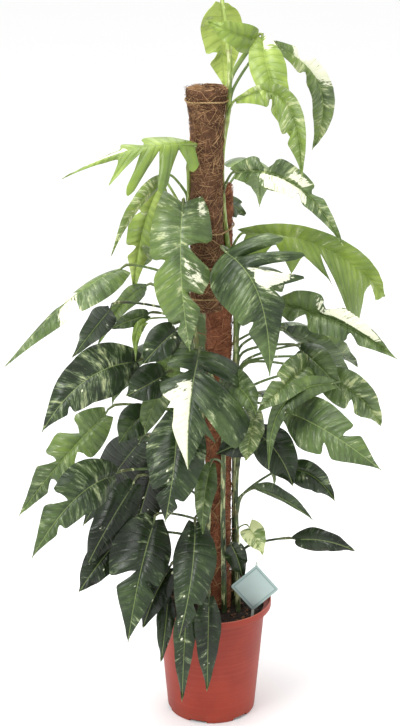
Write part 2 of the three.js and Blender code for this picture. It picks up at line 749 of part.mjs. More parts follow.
        id: "by_pole", base: at(231, 545, -50), mid: at(238, 560, -40), tip: at(243, 580, -26),
        width: [24, 22], stalk: 1.8, drop: 20,
      },
    ],
  },
  {
    name: "stem_back",
    radius: [6, 4],
    line: [mm(10, 42, 190), mm(14, 40, 500), mm(12, 38, 760), mm(6, 36, 960), mm(-6, 12, 1060)],
    leaves: [
      {
        id: "back_top", base: mm(58, 104, 1096), mid: mm(84, 196, 1082), tip: mm(98, 280, 975),
        face: UP_RIGHT, width: [54, 54], open: [8, 8],
        cuts: [[0, 0.5, 0.7, 0.08], [1, 0.35, 0.6, 0.08]], drop: 100,
      },
      {
        id: "back_upper_left", base: mm(-54, 96, 985), mid: mm(-104, 170, 960), tip: mm(-150, 232, 840),
        face: UP_LEFT, width: [58, 56], open: [8, 8],
        cuts: [[0, 0.4, 0.6, 0.08], [1, 0.6, 0.7, 0.08]], drop: 100,
      },
      {
        id: "back_upper_right", base: mm(66, 116, 880), mid: mm(96, 200, 846), tip: mm(112, 246, 700),
        face: UP_BACK, width: [62, 60], open: [10, 10],
        cuts: [[0, 0.6, 0.5, 0.07], [1, 0.3, 0.7, 0.08]], drop: 90,
      },
      {
        id: "back_centre", base: mm(-20, 120, 800), mid: mm(-34, 196, 756), tip: mm(-30, 236, 600),
        face: UP_BACK, width: [58, 60], open: [10, 10], cuts: [[1, 0.45, 0.7, 0.08]], drop: 90,
      },
      {
        id: "side_right", base: mm(118, 62, 790), mid: mm(196, 98, 770), tip: mm(256, 146, 650),
        face: UP_RIGHT, width: [48, 46], open: [8, 8], cuts: [[0, 0.4, 0.7, 0.08]], drop: 80,
      },
      {
        id: "back_left", base: mm(-74, 96, 745), mid: mm(-150, 158, 704), tip: mm(-204, 196, 575),
        face: UP_LEFT, width: [58, 56], open: [10, 10], cuts: [[1, 0.5, 0.7, 0.07]], drop: 90,
      },
      {
        id: "back_right", base: mm(96, 92, 640), mid: mm(156, 156, 600), tip: mm(196, 196, 480),
        face: UP_RIGHT, width: [54, 52], open: [10, 10], cuts: [[0, 0.5, 0.7, 0.07]], drop: 80,
      },
      {
        id: "back_middle", base: mm(4, 128, 620), mid: mm(-4, 206, 570), tip: mm(4, 250, 430),
        face: UP_BACK, width: [56, 56], open: [10, 10], drop: 80,
      },
      {
        id: "side_left", base: mm(-104, 70, 560), mid: mm(-176, 108, 526), tip: mm(-226, 130, 410),
        face: UP_LEFT, width: [46, 46], open: [8, 8], drop: 70,
      },
      {
        id: "back_low_left", base: mm(-66, 100, 440), mid: mm(-116, 158, 400), tip: mm(-144, 190, 285),
        face: UP_LEFT, width: [48, 46], open: [10, 10], drop: 70,
      },
      {
        id: "back_low_right", base: mm(70, 100, 540), mid: mm(112, 158, 505), tip: mm(132, 196, 400),
        face: UP_RIGHT, width: [46, 46], open: [10, 10], drop: 70,
      },
      {
        id: "back_lowest", base: mm(6, 112, 360), mid: mm(6, 168, 330), tip: mm(2, 196, 230),
        face: UP_BACK, width: [38, 40], open: [10, 10], drop: 50,
      },
    ],
  },
];

function stemCurve(stem) {
  return new THREE.CatmullRomCurve3(stem.line, false, "centripetal");
}

// Point of a stem's line at height z, not nearer to its ends than its leaves may be
function pointAtHeight(curve, z) {
  let low = 0;
  let high = 1;
  for (let i = 0; i < 24; i += 1) {
    const middle = (low + high) / 2;
    if (curve.getPointAt(middle).z < z) low = middle;
    else high = middle;
  }
  return curve.getPointAt(clamp(low, 0.02, 0.985));
}

function leafOf(row) {
  const leaf = { ...LEAF_DEFAULTS, ...row };
  leaf.cuts = leaf.cuts.filter(([, , depth]) => depth >= COARSEST_CUT);
  return leaf;
}

function leafSolids(stem) {
  const curve = stemCurve(stem);
  return stem.leaves.map((row) => {
    const leaf = leafOf(row);
    const rootZ = leaf.rootZ ?? Math.max(250, leaf.base.z - leaf.drop);
    const root = pointAtHeight(curve, rootZ);
    const petiole = petioleSolid(leaf, root);
    return { id: leaf.id, petiole, blade: bladeSolid(leaf), root };
  });
}

function stemSolid(stem) {
  const curve = stemCurve(stem);
  const steps = Math.round(curve.getLength() / 60);
  const radiusAt = (t) => lerp(stem.radius[0], stem.radius[1], t);
  return solid(rod(curve, radiusAt, STEM_SIDES, steps));
}

// Circle of a stem at height z, for the ties that hold it to the poles
function stemRound(stem, z) {
  const point = pointAtHeight(stemCurve(stem), z);
  return { at: new THREE.Vector2(point.x, point.y), radius: stem.radius[0] };
}

// Care label: a diamond card in front of a flat stake that stands in the soil

const LABEL_TOP = at(256.6, 562.7, -44);
const LABEL_BOTTOM = at(252.8, 612.6, -50);

function labelFrame() {
  const middle = LABEL_TOP.clone().lerp(LABEL_BOTTOM, 0.5);
  return new THREE.Matrix4()
    .makeTranslation(middle.x, middle.y, middle.z)
    .multiply(new THREE.Matrix4().makeRotationX(rad(-LABEL.lean)))
    .multiply(new THREE.Matrix4().makeRotationY(rad(LABEL.turn)));
}

function makeLabel(grow) {
  const half = LABEL.side / Math.SQRT2;
  const tip = LABEL.cornerCut;
  const outline = new THREE.Shape();
  const corners = [[0, 1], [1, 0], [0, -1], [-1, 0]];
  corners.forEach(([x, z], i) => {
    const before = [x * (half - tip) - z * tip, z * (half - tip) + x * tip];
    const after = [x * (half - tip) + z * tip, z * (half - tip) - x * tip];
    if (i === 0) outline.moveTo(...before);
    else outline.lineTo(...before);
    outline.lineTo(...after);
  });
  const thick = LABEL.thick + 2 * grow;
  const card = new THREE.ExtrudeGeometry(outline, { depth: thick, bevelEnabled: false });
  card.rotateX(Math.PI / 2);
  card.translate(0, LABEL.thick / 2 + grow, 0);
  return solid(card.applyMatrix4(labelFrame()));
}

function makeStake(grow) {
  const half = LABEL.side / Math.SQRT2;
  const top = half + STAKE.above;
  const middle = LABEL_TOP.clone().lerp(LABEL_BOTTOM, 0.5);
  const foot = (middle.z - STAKE.bottomZ) / Math.cos(rad(LABEL.lean));
  const long = top + foot;
  const stake = new THREE.BoxGeometry(STAKE.width + 2 * grow, STAKE.thick + 2 * grow, long + 2 * grow);
  const behind = LABEL.thick / 2 + GAP + STAKE.thick / 2;
  stake.translate(0, behind, top - long / 2);
  return solid(stake.applyMatrix4(labelFrame()));
}

// Assembly

function swollen(pole, grow) {
  return { ...pole, radius: pole.radius + grow, bottomZ: pole.bottomZ - grow, topZ: pole.topZ + grow };
}

function poleSpace(pole, place) {
  const wide = swollen(pole, GAP + COIR_ROUGH);
  const shaft = lathe(
    [
      [0, wide.bottomZ],
      [wide.radius, wide.bottomZ],
      [wide.radius, lerp(wide.bottomZ, wide.topZ, FLARES_FROM)],
      [wide.radius + wide.flare, wide.topZ],
      [0, wide.topZ],
    ],
    pole.sides,
  );
  const core = new THREE.CylinderGeometry(CORE.hole, CORE.hole, 2 * CORE_SHOWS, CORE.sides);
  core.rotateX(Math.PI / 2);
  core.translate(0, 0, pole.bottomZ - GAP);
  return solid(shaft.translate(place.x, place.y, 0)).add(
    solid(core.translate(place.x, place.y, 0)),
  );
}

const FINISHES = {
  pot: { color: 0xa9442b, roughness: 0.55, metalness: 0 },
  soil: { color: 0x2e231c, roughness: 1, metalness: 0 },
  coir: { color: 0x6d4a2f, roughness: 0.95, metalness: 0 },
  core: { color: 0x9c7d55, roughness: 0.8, metalness: 0 },
  twine: { color: 0xa88a5c, roughness: 0.9, metalness: 0 },
  card: { color: 0xbfe0da, roughness: 0.5, metalness: 0 },
  stake: { color: 0xb9b6b0, roughness: 0.5, metalness: 0 },
  leafTop: { color: 0x6f9a3c, roughness: 0.4, metalness: 0 },
  leafDark: { color: 0x2f4b2c, roughness: 0.35, metalness: 0 },
};

const plant = new THREE.Group();
plant.name = "potted_epipremnum";

function place(name, body, finish) {
  const mesh = new THREE.Mesh(geometryOf(body), new THREE.MeshStandardMaterial(FINISHES[finish]));
  mesh.name = name;
  plant.add(mesh);
}

const lowerPole = makePole(LOWER_POLE, LOWER_AT);
const upperPole = makePole(UPPER_POLE, UPPER_AT);
const lowerRound = { at: LOWER_AT, radius: LOWER_POLE.radius };
const upperRound = { at: UPPER_AT, radius: UPPER_POLE.radius };
const topRound = { at: UPPER_AT, radius: UPPER_POLE.radius + UPPER_POLE.flare * 0.8 };

const ties = [["twine_top", TOP_TIE_Z, [topRound]]];
const tiedStems = STEMS.filter((stem) => TIED_STEMS.includes(stem.name));
PAIR_TIES_Z.forEach((z, i) => {
  const stems = tiedStems.map((stem) => stemRound(stem, z));
  ties.push([`twine_pair_${i + 1}`, z, [lowerRound, upperRound, ...stems]]);
});

const held = [
  poleSpace(LOWER_POLE, LOWER_AT),
  poleSpace(UPPER_POLE, UPPER_AT),
  ...ties.map(([, z, rounds]) => makeTie(z, rounds, TWINE.radius + GAP)),
];
const standing = union(held);

const stemBodies = STEMS.map((stem) => {
  const grown = [stemSolid(stem)];
  leafSolids(stem).forEach(({ petiole, blade }) => grown.push(petiole, blade));
  return mainBody(union(grown).subtract(standing)).simplify(SEAM);
});

const stemHoles = STEMS.map((stem) => {
  const foot = stem.line[0];
  const wide = (stem.radius[0] + 3 * GAP) / Math.cos(Math.PI / HOLE_SIDES);
  const hole = new THREE.CylinderGeometry(wide, wide, 80, HOLE_SIDES);
  hole.rotateX(Math.PI / 2);
  hole.translate(foot.x, foot.y, foot.z + 40 - GAP);
  return solid(hole);
});

place("pot", makePot(), "pot");
place("soil", makeSoil([...stemHoles, poleSpace(LOWER_POLE, LOWER_AT), makeStake(GAP)]), "soil");
place("coir_pole_lower", lowerPole, "coir");
place("core_lower", makeCore(LOWER_POLE, LOWER_AT), "core");
place("coir_pole_upper", upperPole, "coir");
place("core_upper", makeCore(UPPER_POLE, UPPER_AT), "core");
ties.forEach(([name, z, rounds]) => place(name, makeTie(z, rounds, TWINE.radius), "twine"));
place("label_card", makeLabel(0), "card");
place("label_stake", makeStake(0), "stake");
stemBodies.forEach((body, i) => {
  place(STEMS[i].name, body, i < 2 ? "leafTop" : "leafDark");
});

export default plant;
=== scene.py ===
"""A potted variegated epipremnum pinnatum that climbs two coir poles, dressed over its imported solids.

Sizes are in millimetres until a piece is finished, when its mesh is scaled to metres. +Z is up and
the plant's front is towards -Y.
"""

import logging
import math
import random
from dataclasses import dataclass
from enum import Enum, IntEnum

import bmesh
import bpy
import numpy as np
from mathutils import Matrix, Vector, noise


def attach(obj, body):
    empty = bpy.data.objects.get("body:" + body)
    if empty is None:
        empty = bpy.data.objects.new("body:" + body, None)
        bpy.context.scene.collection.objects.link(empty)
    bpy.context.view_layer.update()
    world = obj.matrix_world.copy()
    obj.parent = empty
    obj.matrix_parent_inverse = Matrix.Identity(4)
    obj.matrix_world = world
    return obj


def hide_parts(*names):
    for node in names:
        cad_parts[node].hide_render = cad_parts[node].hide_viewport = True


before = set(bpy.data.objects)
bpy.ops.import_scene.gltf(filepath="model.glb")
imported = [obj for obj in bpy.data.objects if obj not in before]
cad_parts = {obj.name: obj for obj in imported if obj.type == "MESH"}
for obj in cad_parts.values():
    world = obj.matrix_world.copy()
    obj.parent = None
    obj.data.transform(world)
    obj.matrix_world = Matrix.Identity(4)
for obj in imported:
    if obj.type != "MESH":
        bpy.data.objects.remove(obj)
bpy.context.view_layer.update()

LOG = logging.getLogger("plant")

MM = 0.001
SEED = 7
ROOT = "root"
FULL_TURN = 2 * math.pi

# Floats kept on every point of the leafy stems, which their finishes read
LAY = "lay"  # distance from the midrib, in units of LEAF_UNIT, signed
RUN = "run"  # distance along the midrib, in units of LEAF_UNIT
TONE = "tone"  # 0 dark green to 1 lime
MARBLE = "marble"  # how much of the blade is streaked with cream
WHITE = "white"  # 1 inside a white sector
CHANCE = "chance"  # a number of the leaf's own, for its pattern
POINT_FLOATS = (LAY, RUN, TONE, MARBLE, WHITE, CHANCE)
LEAF_UNIT = 50.0
VEIN_APART = 15.0


# Small helpers


def mm(x: float, y: float, z: float) -> np.ndarray:
    """Point of the part's frame, in millimetres."""
    return np.array((x, y, z), float)


def unit(v: np.ndarray) -> np.ndarray:
    """Vectors along the last axis, made one long."""
    return v / np.maximum(np.linalg.norm(v, axis=-1, keepdims=True), 1e-12)


def mix(a: np.ndarray | float, b: np.ndarray | float, share: np.ndarray | float) -> np.ndarray | float:
    """Value that lies the given share of the way from a to b."""
    return a + (b - a) * share


def ease(x: np.ndarray | float, low: float, high: float) -> np.ndarray:
    """Smooth rise from 0 at low to 1 at high."""
    t = np.clip((np.asarray(x, float) - low) / (high - low), 0, 1)
    return t * t * (3 - 2 * t)


def tint(red: float, green: float, blue: float) -> tuple[float, float, float, float]:
    """Linear colour of a display colour.

    Args:
        red: Red of the display colour, from 0 to 255.
        green: Its green.
        blue: Its blue.

    Returns:
        The linear colour, with an alpha of 1.
    """
    linear = []
    for level in (red, green, blue):
        c = level / 255
        linear.append(c / 12.92 if c <= 0.04045 else ((c + 0.055) / 1.055) ** 2.4)
    return (linear[0], linear[1], linear[2], 1.0)


def round_axis(
    place: tuple[float, float], radius: np.ndarray, angle: np.ndarray, height: np.ndarray
) -> np.ndarray:
    """Points given by radius, angle and height round an upright axis."""
    return np.stack((place[0] + radius * np.cos(angle), place[1] + radius * np.sin(angle), height), axis=-1)


# Viewpoint


@dataclass(frozen=True)
class Viewpoint:
    """The place that the picture is taken from, with its frame in pixels."""

    eye: tuple[float, float, float] = (-23.0, -3400.0, 1900.0)
    focal: float = 1867.0
    centre_u: float = 200.0
    centre_v: float = 363.0
    down: float = 18.9
    long_side: float = 726.0
    sensor: float = 36.0
    clip: tuple[float, float] = (0.1, 50.0)

    def point(self, u: float, v: float, y: float) -> np.ndarray:
        """Point of the part's frame that a pixel shows at a given depth.

        Args:
            u: Pixel from the left.
            v: Pixel from the top.
            y: Depth of the point, in millimetres.

        Returns:
            The point, in millimetres.
        """
        tilt = math.radians(self.down)
        forward = mm(0, math.cos(tilt), -math.sin(tilt))
        up = mm(0, math.sin(tilt), math.cos(tilt))
        ray = forward + up * (self.centre_v - v) / self.focal
        ray = ray + mm((u - self.centre_u) / self.focal, 0, 0)
        eye = mm(*self.eye)
        return eye + ray * (y - eye[1]) / ray[1]

    def make_camera(self) -> bpy.types.Object:
        """Camera that sees the picture's frame.

        Returns:
            The camera, set as the scene's own.
        """
        data = bpy.data.cameras.new("camera")
        data.sensor_width = self.sensor
        data.lens = self.focal * self.sensor / self.long_side
        data.clip_start, data.clip_end = self.clip
        camera = bpy.data.objects.new("camera", data)
        camera.location = Vector(self.eye) * MM
        camera.rotation_euler = (math.radians(90 - self.down), 0.0, 0.0)
        bpy.context.scene.collection.objects.link(camera)
        bpy.context.scene.camera = camera
        return camera


VIEW = Viewpoint()


def at(u: float, v: float, y: float) -> np.ndarray:
    """Point of the part's frame that a pixel of the picture shows at depth y."""
    return VIEW.point(u, v, y)


# Mesh tools


class Line:
    """A smooth curve through points, measured by its length."""

    FINE = 40  # points between one given point and the next
    SEARCH = 4000
    OFF_ENDS = (0.02, 0.985)

    def __init__(self, points: list[np.ndarray]) -> None:
        """Works out a close polyline through the points.

        Args:
            points: The points that the curve passes, in millimetres.
        """
        pts = np.array(points, float)
        ends = (2 * pts[0] - pts[1], 2 * pts[-1] - pts[-2])
        around = np.vstack((ends[0], pts, ends[1]))
        share = np.linspace(0, 1, self.FINE, endpoint=False)[:, None]
        parts = []
        for i in range(len(pts) - 1):
            p0, p1, p2, p3 = around[i : i + 4]
            d0, d1, d2 = (max(np.sum((b - a) ** 2) ** 0.25, 1e-4) for a, b in ((p0, p1), (p1, p2), (p2, p3)))
            t1 = ((p1 - p0) / d0 - (p2 - p0) / (d0 + d1) + (p2 - p1) / d1) * d1
            t2 = ((p2 - p1) / d1 - (p3 - p1) / (d1 + d2) + (p3 - p2) / d2) * d1
            s2, s3 = share**2, share**3
            parts.append(
                p1 * (2 * s3 - 3 * s2 + 1) + t1 * (s3 - 2 * s2 + share)
                + p2 * (3 * s2 - 2 * s3) + t2 * (s3 - s2)
            )
        self.points = np.vstack((*parts, pts[-1:]))
        steps = np.linalg.norm(np.diff(self.points, axis=0), axis=1)
        self.measure = np.concatenate(((0.0,), np.cumsum(steps)))
        self.length = float(self.measure[-1])

    def at(self, share: np.ndarray | float) -> np.ndarray:
        """Points at shares of the curve's length."""
        where = np.asarray(share, float) * self.length
        return np.stack([np.interp(where, self.measure, self.points[:, k]) for k in range(3)], axis=-1)

    def at_height(self, z: float) -> float:
        """Where the curve first reaches a height.

        Args:
            z: The height.

        Returns:
            The share of the curve's length, kept off its ends.
        """
        shares = np.linspace(0, 1, self.SEARCH)
        above = np.nonzero(self.at(shares)[:, 2] >= z)[0]
        return float(np.clip(shares[above[0]] if len(above) else 1.0, *self.OFF_ENDS))


def frames_along(path: np.ndarray) -> tuple[np.ndarray, np.ndarray]:
    """Two directions across a path at each of its points, which turn as little as they can.

    Args:
        path: The path's points.

    Returns:
        The two directions, as arrays like the path.
    """
    along = unit(np.gradient(path, axis=0))
    start = mm(1, 0, 0) if abs(along[0][0]) < 0.8 else mm(0, 1, 0)
    first = []
    now = unit(start - along[0] * np.dot(start, along[0]))
    for direction in along:
        now = unit(now - direction * np.dot(now, direction))
        first.append(now)
    across = np.array(first)
    return across, np.cross(along, across)


class Shaper:
    """A mesh in the making, with the point floats that the finishes read."""

    def __init__(self) -> None:
        """Starts an empty mesh."""
        self.bm = bmesh.new()
        self.layers = {name: self.bm.verts.layers.float.new(name) for name in POINT_FLOATS}
        self.number = self.bm.verts.layers.int.new("number")

    def mark(self, vert: bmesh.types.BMVert, **values: float) -> None:
        """Writes point floats of a vertex."""
        for name, value in values.items():
            vert[self.layers[name]] = value

    def rods(
        self,
        paths: list[np.ndarray],
        radii: list[np.ndarray],
        sides: int,
        material: int,
        floats: list[dict[str, np.ndarray | float]] | None = None,
    ) -> None:
        """Closed round rods along paths that all have the same number of points.

        One grid is rolled into all the rods: the faces between one rod and the next are taken out.

        Args:
            paths: Points of each rod's middle line.
            radii: Radius at each of those points.
            sides: Faces round a rod.
            material: Material index of the rods.
            floats: Point floats of each rod, one value or a value for each point of its path.
        """
        count = len(paths[0])
        total = count * len(paths)
        crosses = [frames_along(path) for path in paths]
        grid = bmesh.ops.create_grid(self.bm, x_segments=total - 1, y_segments=sides, size=1.0)["verts"]
        rod_of = {}
        for vert in grid:
            index = round((vert.co.x + 1) / 2 * (total - 1))
            side = round((vert.co.y + 1) / 2 * sides) % sides
            rod, step = divmod(index, count)
            angle = -FULL_TURN * side / sides
            one, two = crosses[rod]
            out = one[step] * math.cos(angle) + two[step] * math.sin(angle)
            vert.co = paths[rod][step] + out * radii[rod][step]
            rod_of[vert] = rod
            self.mark(vert, lay=side / sides, run=step)
            if floats:
                values = {k: float(v[step]) if np.ndim(v) else float(v) for k, v in floats[rod].items()}
                self.mark(vert, **values)
        edges = {edge for vert in grid for edge in vert.link_edges}
        loose = [edge for edge in edges if rod_of[edge.verts[0]] != rod_of[edge.verts[1]]]
        if loose:
            bmesh.ops.delete(self.bm, geom=loose, context="EDGES")
        bmesh.ops.remove_doubles(self.bm, verts=[v for v in grid if v.is_valid], dist=1e-5)
        left = [v for v in grid if v.is_valid]
        rims = {edge for vert in left for edge in vert.link_edges if edge.is_boundary}
        bmesh.ops.holes_fill(self.bm, edges=list(rims), sides=0)
        for face in {face for vert in left for face in vert.link_faces}:
            face.material_index = material

    def spun(self, profile: list[tuple[float, float]], steps: int, place: tuple[float, float]) -> None:
        """Solid of revolution round an upright axis.

        Args:
            profile: Radius and height of each point of the outline, from the axis to the axis or closed.
            steps: Steps of the turn.
            place: Where the axis stands.
        """
        verts = [self.bm.verts.new((place[0] + r, place[1], z)) for r, z in profile]
        edges = [self.bm.edges.new(pair) for pair in zip(verts, verts[1:])]
        if profile[0][0] > 0:
            edges.append(self.bm.edges.new((verts[-1], verts[0])))
        bmesh.ops.spin(
            self.bm, geom=verts + edges, cent=(place[0], place[1], 0), axis=(0, 0, 1),
            angle=FULL_TURN, steps=steps, use_merge=True,
        )
        bmesh.ops.remove_doubles(self.bm, verts=self.bm.verts[:], dist=1e-4)
        bmesh.ops.recalc_face_normals(self.bm, faces=self.bm.faces[:])

    def mesh(self, name: str, materials: list[bpy.types.Material], sharp: float) -> bpy.types.Mesh:
        """The finished mesh, in metres.

        Args:
            name: Name of the mesh.
            materials: Its materials, in the order of the faces' indices.
            sharp: Angle in degrees from which an edge stays sharp.

        Returns:
            The new mesh.
        """
        self.bm.verts.layers.int.remove(self.number)
        bmesh.ops.scale(self.bm, vec=(MM, MM, MM), verts=self.bm.verts[:])
        mesh = bpy.data.meshes.new(name)
        self.bm.to_mesh(mesh)
        self.bm.free()
        for material in materials:
            mesh.materials.append(material)
        mesh.shade_smooth()
        mesh.set_sharp_from_angle(angle=math.radians(sharp))
        return mesh


def round_edges(
    bm: bmesh.types.BMesh, edges: list[bmesh.types.BMEdge], offset: float, segments: int
) -> None:
    """Rounds edges of a mesh.

    Args:
        bm: The mesh in the making.
        edges: The edges.
        offset: How far from each edge the rounding begins.
        segments: Faces across it.
    """
    bmesh.ops.bevel(
        bm, geom=edges, offset=offset, offset_type="OFFSET", segments=segments, profile=0.5,
        affect="EDGES", material=-1, clamp_overlap=True,
    )


def piece(name: str, mesh: bpy.types.Mesh, nodes: tuple[str, ...]) -> bpy.types.Object:
    """Object of a finished mesh, which rides on the plant's one body.

    Args:
        name: Name of the piece.
        mesh: Its mesh, in metres.
        nodes: The solids that it stands for.

    Returns:
        The new object.
    """
    made = bpy.data.objects.new(name, mesh)
    bpy.context.scene.collection.objects.link(made)
    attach(made, ROOT)
    if nodes:
        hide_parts(*nodes)
    LOG.info("%s: %d faces", name, len(mesh.polygons))
    return made


# Leaves


class Facing(Enum):
    """The way that the upper face of a blade looks."""

    VIEWER = (0, -0.95, 0.32)
    UP_LEFT = (-0.3, 0.45, 1)
    UP_RIGHT = (0.3, 0.45, 1)
    UP_BACK = (0, 0.75, 0.8)

    def vector(self) -> np.ndarray:
        """The direction, one long."""
        return unit(mm(*self.value))


class Skin(IntEnum):
    """Material index of each surface of a leafy stem."""

    UPPER = 0
    UNDER = 1
    STALK = 2
    ROOTLET = 3


@dataclass(frozen=True)
class Cut:
    """A cut from the margin of a blade towards its midrib."""

    side: int
    place: float
    depth: float
    mouth: float = 0.05

    WIDE = 0.15  # a mouth wider than this only narrows the blade
    CORNER = 0.035
    ROUNDED = 0.2
    STATIONS = (-0.9, -0.72, -0.5, -0.47, -0.36, -0.18, 0.0, 0.18, 0.36, 0.47, 0.5, 0.72, 0.9)

    def near(self, t: np.ndarray) -> np.ndarray:
        """How near to the cut's middle each place is: 1 in the middle, 0 at the mouth's ends."""
        return np.clip(1 - np.abs(t - self.place) / (self.mouth / 2), 0, 1)

    def share(self, t: np.ndarray) -> np.ndarray:
        """Share of the half-width that the cut leaves, with the corners of its mouth rounded.

        Args:
            t: Places along the midrib.

        Returns:
            The share left at each place.
        """
        if self.mouth > self.WIDE:
            return 1 - self.depth * ease(self.near(t), -0.1, 1.1)
        past = np.abs(t - self.place) - self.mouth / 2
        lobe = 1 - self.ROUNDED * np.clip(1 - past / self.CORNER, 0, 1) ** 2
        notch = (1 - self.depth * self.near(t) ** 0.5) * (1 - self.ROUNDED)
        return np.where(past > 0, lobe, notch)

    def stations(self) -> list[float]:
        """Places along the midrib where the cut's outline needs points."""
        return [self.place + self.mouth * share for share in self.STATIONS]


@dataclass(frozen=True)
class Leaf:
    """A leaf: its blade hung on a midrib, and the stalk that carries it.

    Sides are 0 on the right hand of someone who walks on the face from the base to the tip, and 1 on
    the left. Angles are in degrees, and places along the midrib run from 0 at the base to 1.
    """

    name: str
    base: np.ndarray
    middle: np.ndarray
    tip: np.ndarray
    face: Facing = Facing.VIEWER
    width: tuple[float, float] = (55, 55)
    opening: tuple[float, float] = (20, 20)
    curl: float = 25
    wave: float = 5
    phase: float = 0
    widest: float = 0.3
    base_share: float = 0.34
    slant_base: tuple[float, float] = (-32, -32)
    slant_tip: tuple[float, float] = (34, 34)
    narrow: tuple[float, float] = (1, 1)
    cuts: tuple[Cut, ...] = ()
    large: bool = False
    stalk: float = 2.7
    drop: float = 80
    root_z: float = 0
    tone: float = 0.5
    marble: float = 0.2
    white: tuple[tuple[float, ...], ...] = ()

    THICK = 0.8
    SLANT_TURNS = 0.4  # place where the side veins have turned from their slant at the base
    NARROWS = (0.4, 0.55)
    WAVES = 2.2
    SIDE_PHASE = 2.1
    TIP_REACH, TIP_POWER = 0.02, 1.15
    FLAT_FROM = 0.94  # place from which the tip loses its waves
    QUILTED = 1.7
    GROOVE, GROOVE_WIDE = 1.2, 2.4
    RUFFLE = 0.26
    SECTOR_SOFT = 0.1
    GRID_LARGE, GRID_SMALL = (44, 26), (30, 18)
    NEAR_TIP = 0.985
    LEAST_STEP = 0.003
    CROWDED = 1.25  # crowds the grid's columns towards the midrib
    RIB_ENDS = (0.02, 0.94)
    RIB_THIN = 0.35

    def control(self) -> np.ndarray:
        """Control point that makes the midrib pass its middle point."""
        return 2 * self.middle - self.base / 2 - self.tip / 2

    def rib(self, t: np.ndarray) -> np.ndarray:
        """Points of the midrib."""
        t = np.asarray(t, float)[..., None]
        return (1 - t) ** 2 * self.base + 2 * t * (1 - t) * self.control() + t**2 * self.tip

    def along(self, t: np.ndarray) -> np.ndarray:
        """Directions of the midrib."""
        t, control = np.asarray(t, float)[..., None], self.control()
        return unit(2 * (1 - t) * (control - self.base) + 2 * t * (self.tip - control))

    def outward(self, t: np.ndarray) -> np.ndarray:
        """Directions out of the upper face at the midrib."""
        along = self.along(t)
        return np.cross(unit(np.cross(along, self.face.vector())), along)

    def length(self) -> float:
        """Length of the midrib."""
        return float(np.linalg.norm(np.diff(self.rib(np.linspace(0, 1, 30)), axis=0), axis=1).sum())

    def reach(self, t: np.ndarray, side: np.ndarray, share: np.ndarray) -> np.ndarray:
        """Distance from the midrib along a side vein.

        Args:
            t: Places along the midrib.
            side: Side of each point.
            share: Share of the way to the margin.

        Returns:
            The distances, in millimetres, with the cuts taken out.
        """
        rising = mix(self.base_share, 1.0, np.sin(math.pi / 2 * np.clip(t / self.widest, 0, 1)))
        past = np.clip((t - self.widest) / (1 - self.widest), 0, 1)
        falling = np.maximum(self.TIP_REACH, np.cos(math.pi / 2 * past) ** self.TIP_POWER)
        envelope = np.where(t < self.widest, rising, falling)
        narrowed = mix(1.0, np.where(side == 0, *self.narrow), ease(t, *self.NARROWS))
        kept = np.ones_like(t)
        for cut in self.cuts:
            kept = np.where(side == cut.side, np.minimum(kept, cut.share(t)), kept)
        return np.where(side == 0, *self.width) * envelope * narrowed * kept * share

    def surface(self, t: np.ndarray, u: np.ndarray) -> tuple[np.ndarray, np.ndarray]:
        """Points of the blade's upper face.

        Args:
            t: Places along the midrib.
            u: Places across, from -1 to 1 at the margins.

        Returns:
            The points, and the distance of each from the midrib.
        """
        rib, along = self.rib(t), self.along(t)
        right = unit(np.cross(along, self.face.vector()))
        out = np.cross(right, along)
        side, share = np.where(u >= 0, 0, 1), np.abs(u)
        kept = self.reach(t, side, share)
        turned = np.clip(t / self.SLANT_TURNS, 0, 1)
        slants = [mix(a, b, turned) for a, b in zip(self.slant_base, self.slant_tip)]
        slant = np.radians(np.where(side == 0, *slants))
        bend = np.radians(np.where(side == 0, *self.opening) - self.curl * share)
        away = right * np.where(side == 0, 1, -1)[:, None]
        swing = FULL_TURN * self.WAVES * t + self.phase + side * self.SIDE_PHASE
        lift = kept * np.cos(slant) * np.sin(bend)
        waves = self.wave * share**2 * np.sin(swing) + self.relief(t, share, kept)
        lift += waves * (1 - ease(t, self.FLAT_FROM, 1))
        place = rib + away * (kept * np.cos(slant) * np.cos(bend))[:, None]
        place = place + out * lift[:, None] + along * (kept * np.sin(slant))[:, None]
        return place, kept

    def relief(self, t: np.ndarray, share: np.ndarray, kept: np.ndarray) -> np.ndarray:
        """Heights of the quilting between the side veins and of the groove over the midrib.

        Args:
            t: Places along the midrib.
            share: Share of the way to the margin.
            kept: Distance from the midrib.

        Returns:
            The heights, in millimetres.
        """
        veins = self.length() / VEIN_APART
        between = np.abs(np.sin(math.pi * veins * t)) ** 0.7
        fade = ease(kept, 2, 12) * (1 - 0.6 * share)
        ruffled = self.RUFFLE * self.wave * share**3 * np.sin(FULL_TURN * veins * t / 2 + self.phase * 3)
        groove = self.GROOVE * np.exp(-((kept / self.GROOVE_WIDE) ** 2))
        return self.QUILTED * between * fade - groove + ruffled

    def sector(self, t: np.ndarray, u: np.ndarray) -> np.ndarray:
        """How far each point lies inside a white sector.

        Args:
            t: Places along the midrib.
            u: Places across, from -1 to 1 at the margins.

        Returns:
            The shares, 1 inside a sector and 0 well outside.
        """
        side, out, soft = np.where(u >= 0, 0, 1), np.abs(u), self.SECTOR_SOFT
        inside = np.zeros_like(t)
        for where, start, end, *limits in self.white:
            low, high = limits or (0.0, 1.2)
            band = ease(t, start - soft, start + soft) * (1 - ease(t, end - soft, end + soft))
            band = band * ease(out, low - 0.04, low + 0.08) * (1 - ease(out, high - 0.15, high + 0.1))
            inside = np.maximum(inside, np.where(side == where, band, 0))
        return inside

    def stations(self, rows: int) -> np.ndarray:
        """Places along the midrib of the blade's rows of points.

        Args:
            rows: Rows before the cuts add theirs.

        Returns:
            The places, from the base to the tip.
        """
        places = [*np.linspace(0, 1, rows), self.NEAR_TIP]
        for cut in self.cuts:
            places += [t for t in cut.stations() if 0 < t < 1]
        places = np.array(sorted(places))
        return places[np.concatenate(((True,), np.diff(places) > self.LEAST_STEP))]

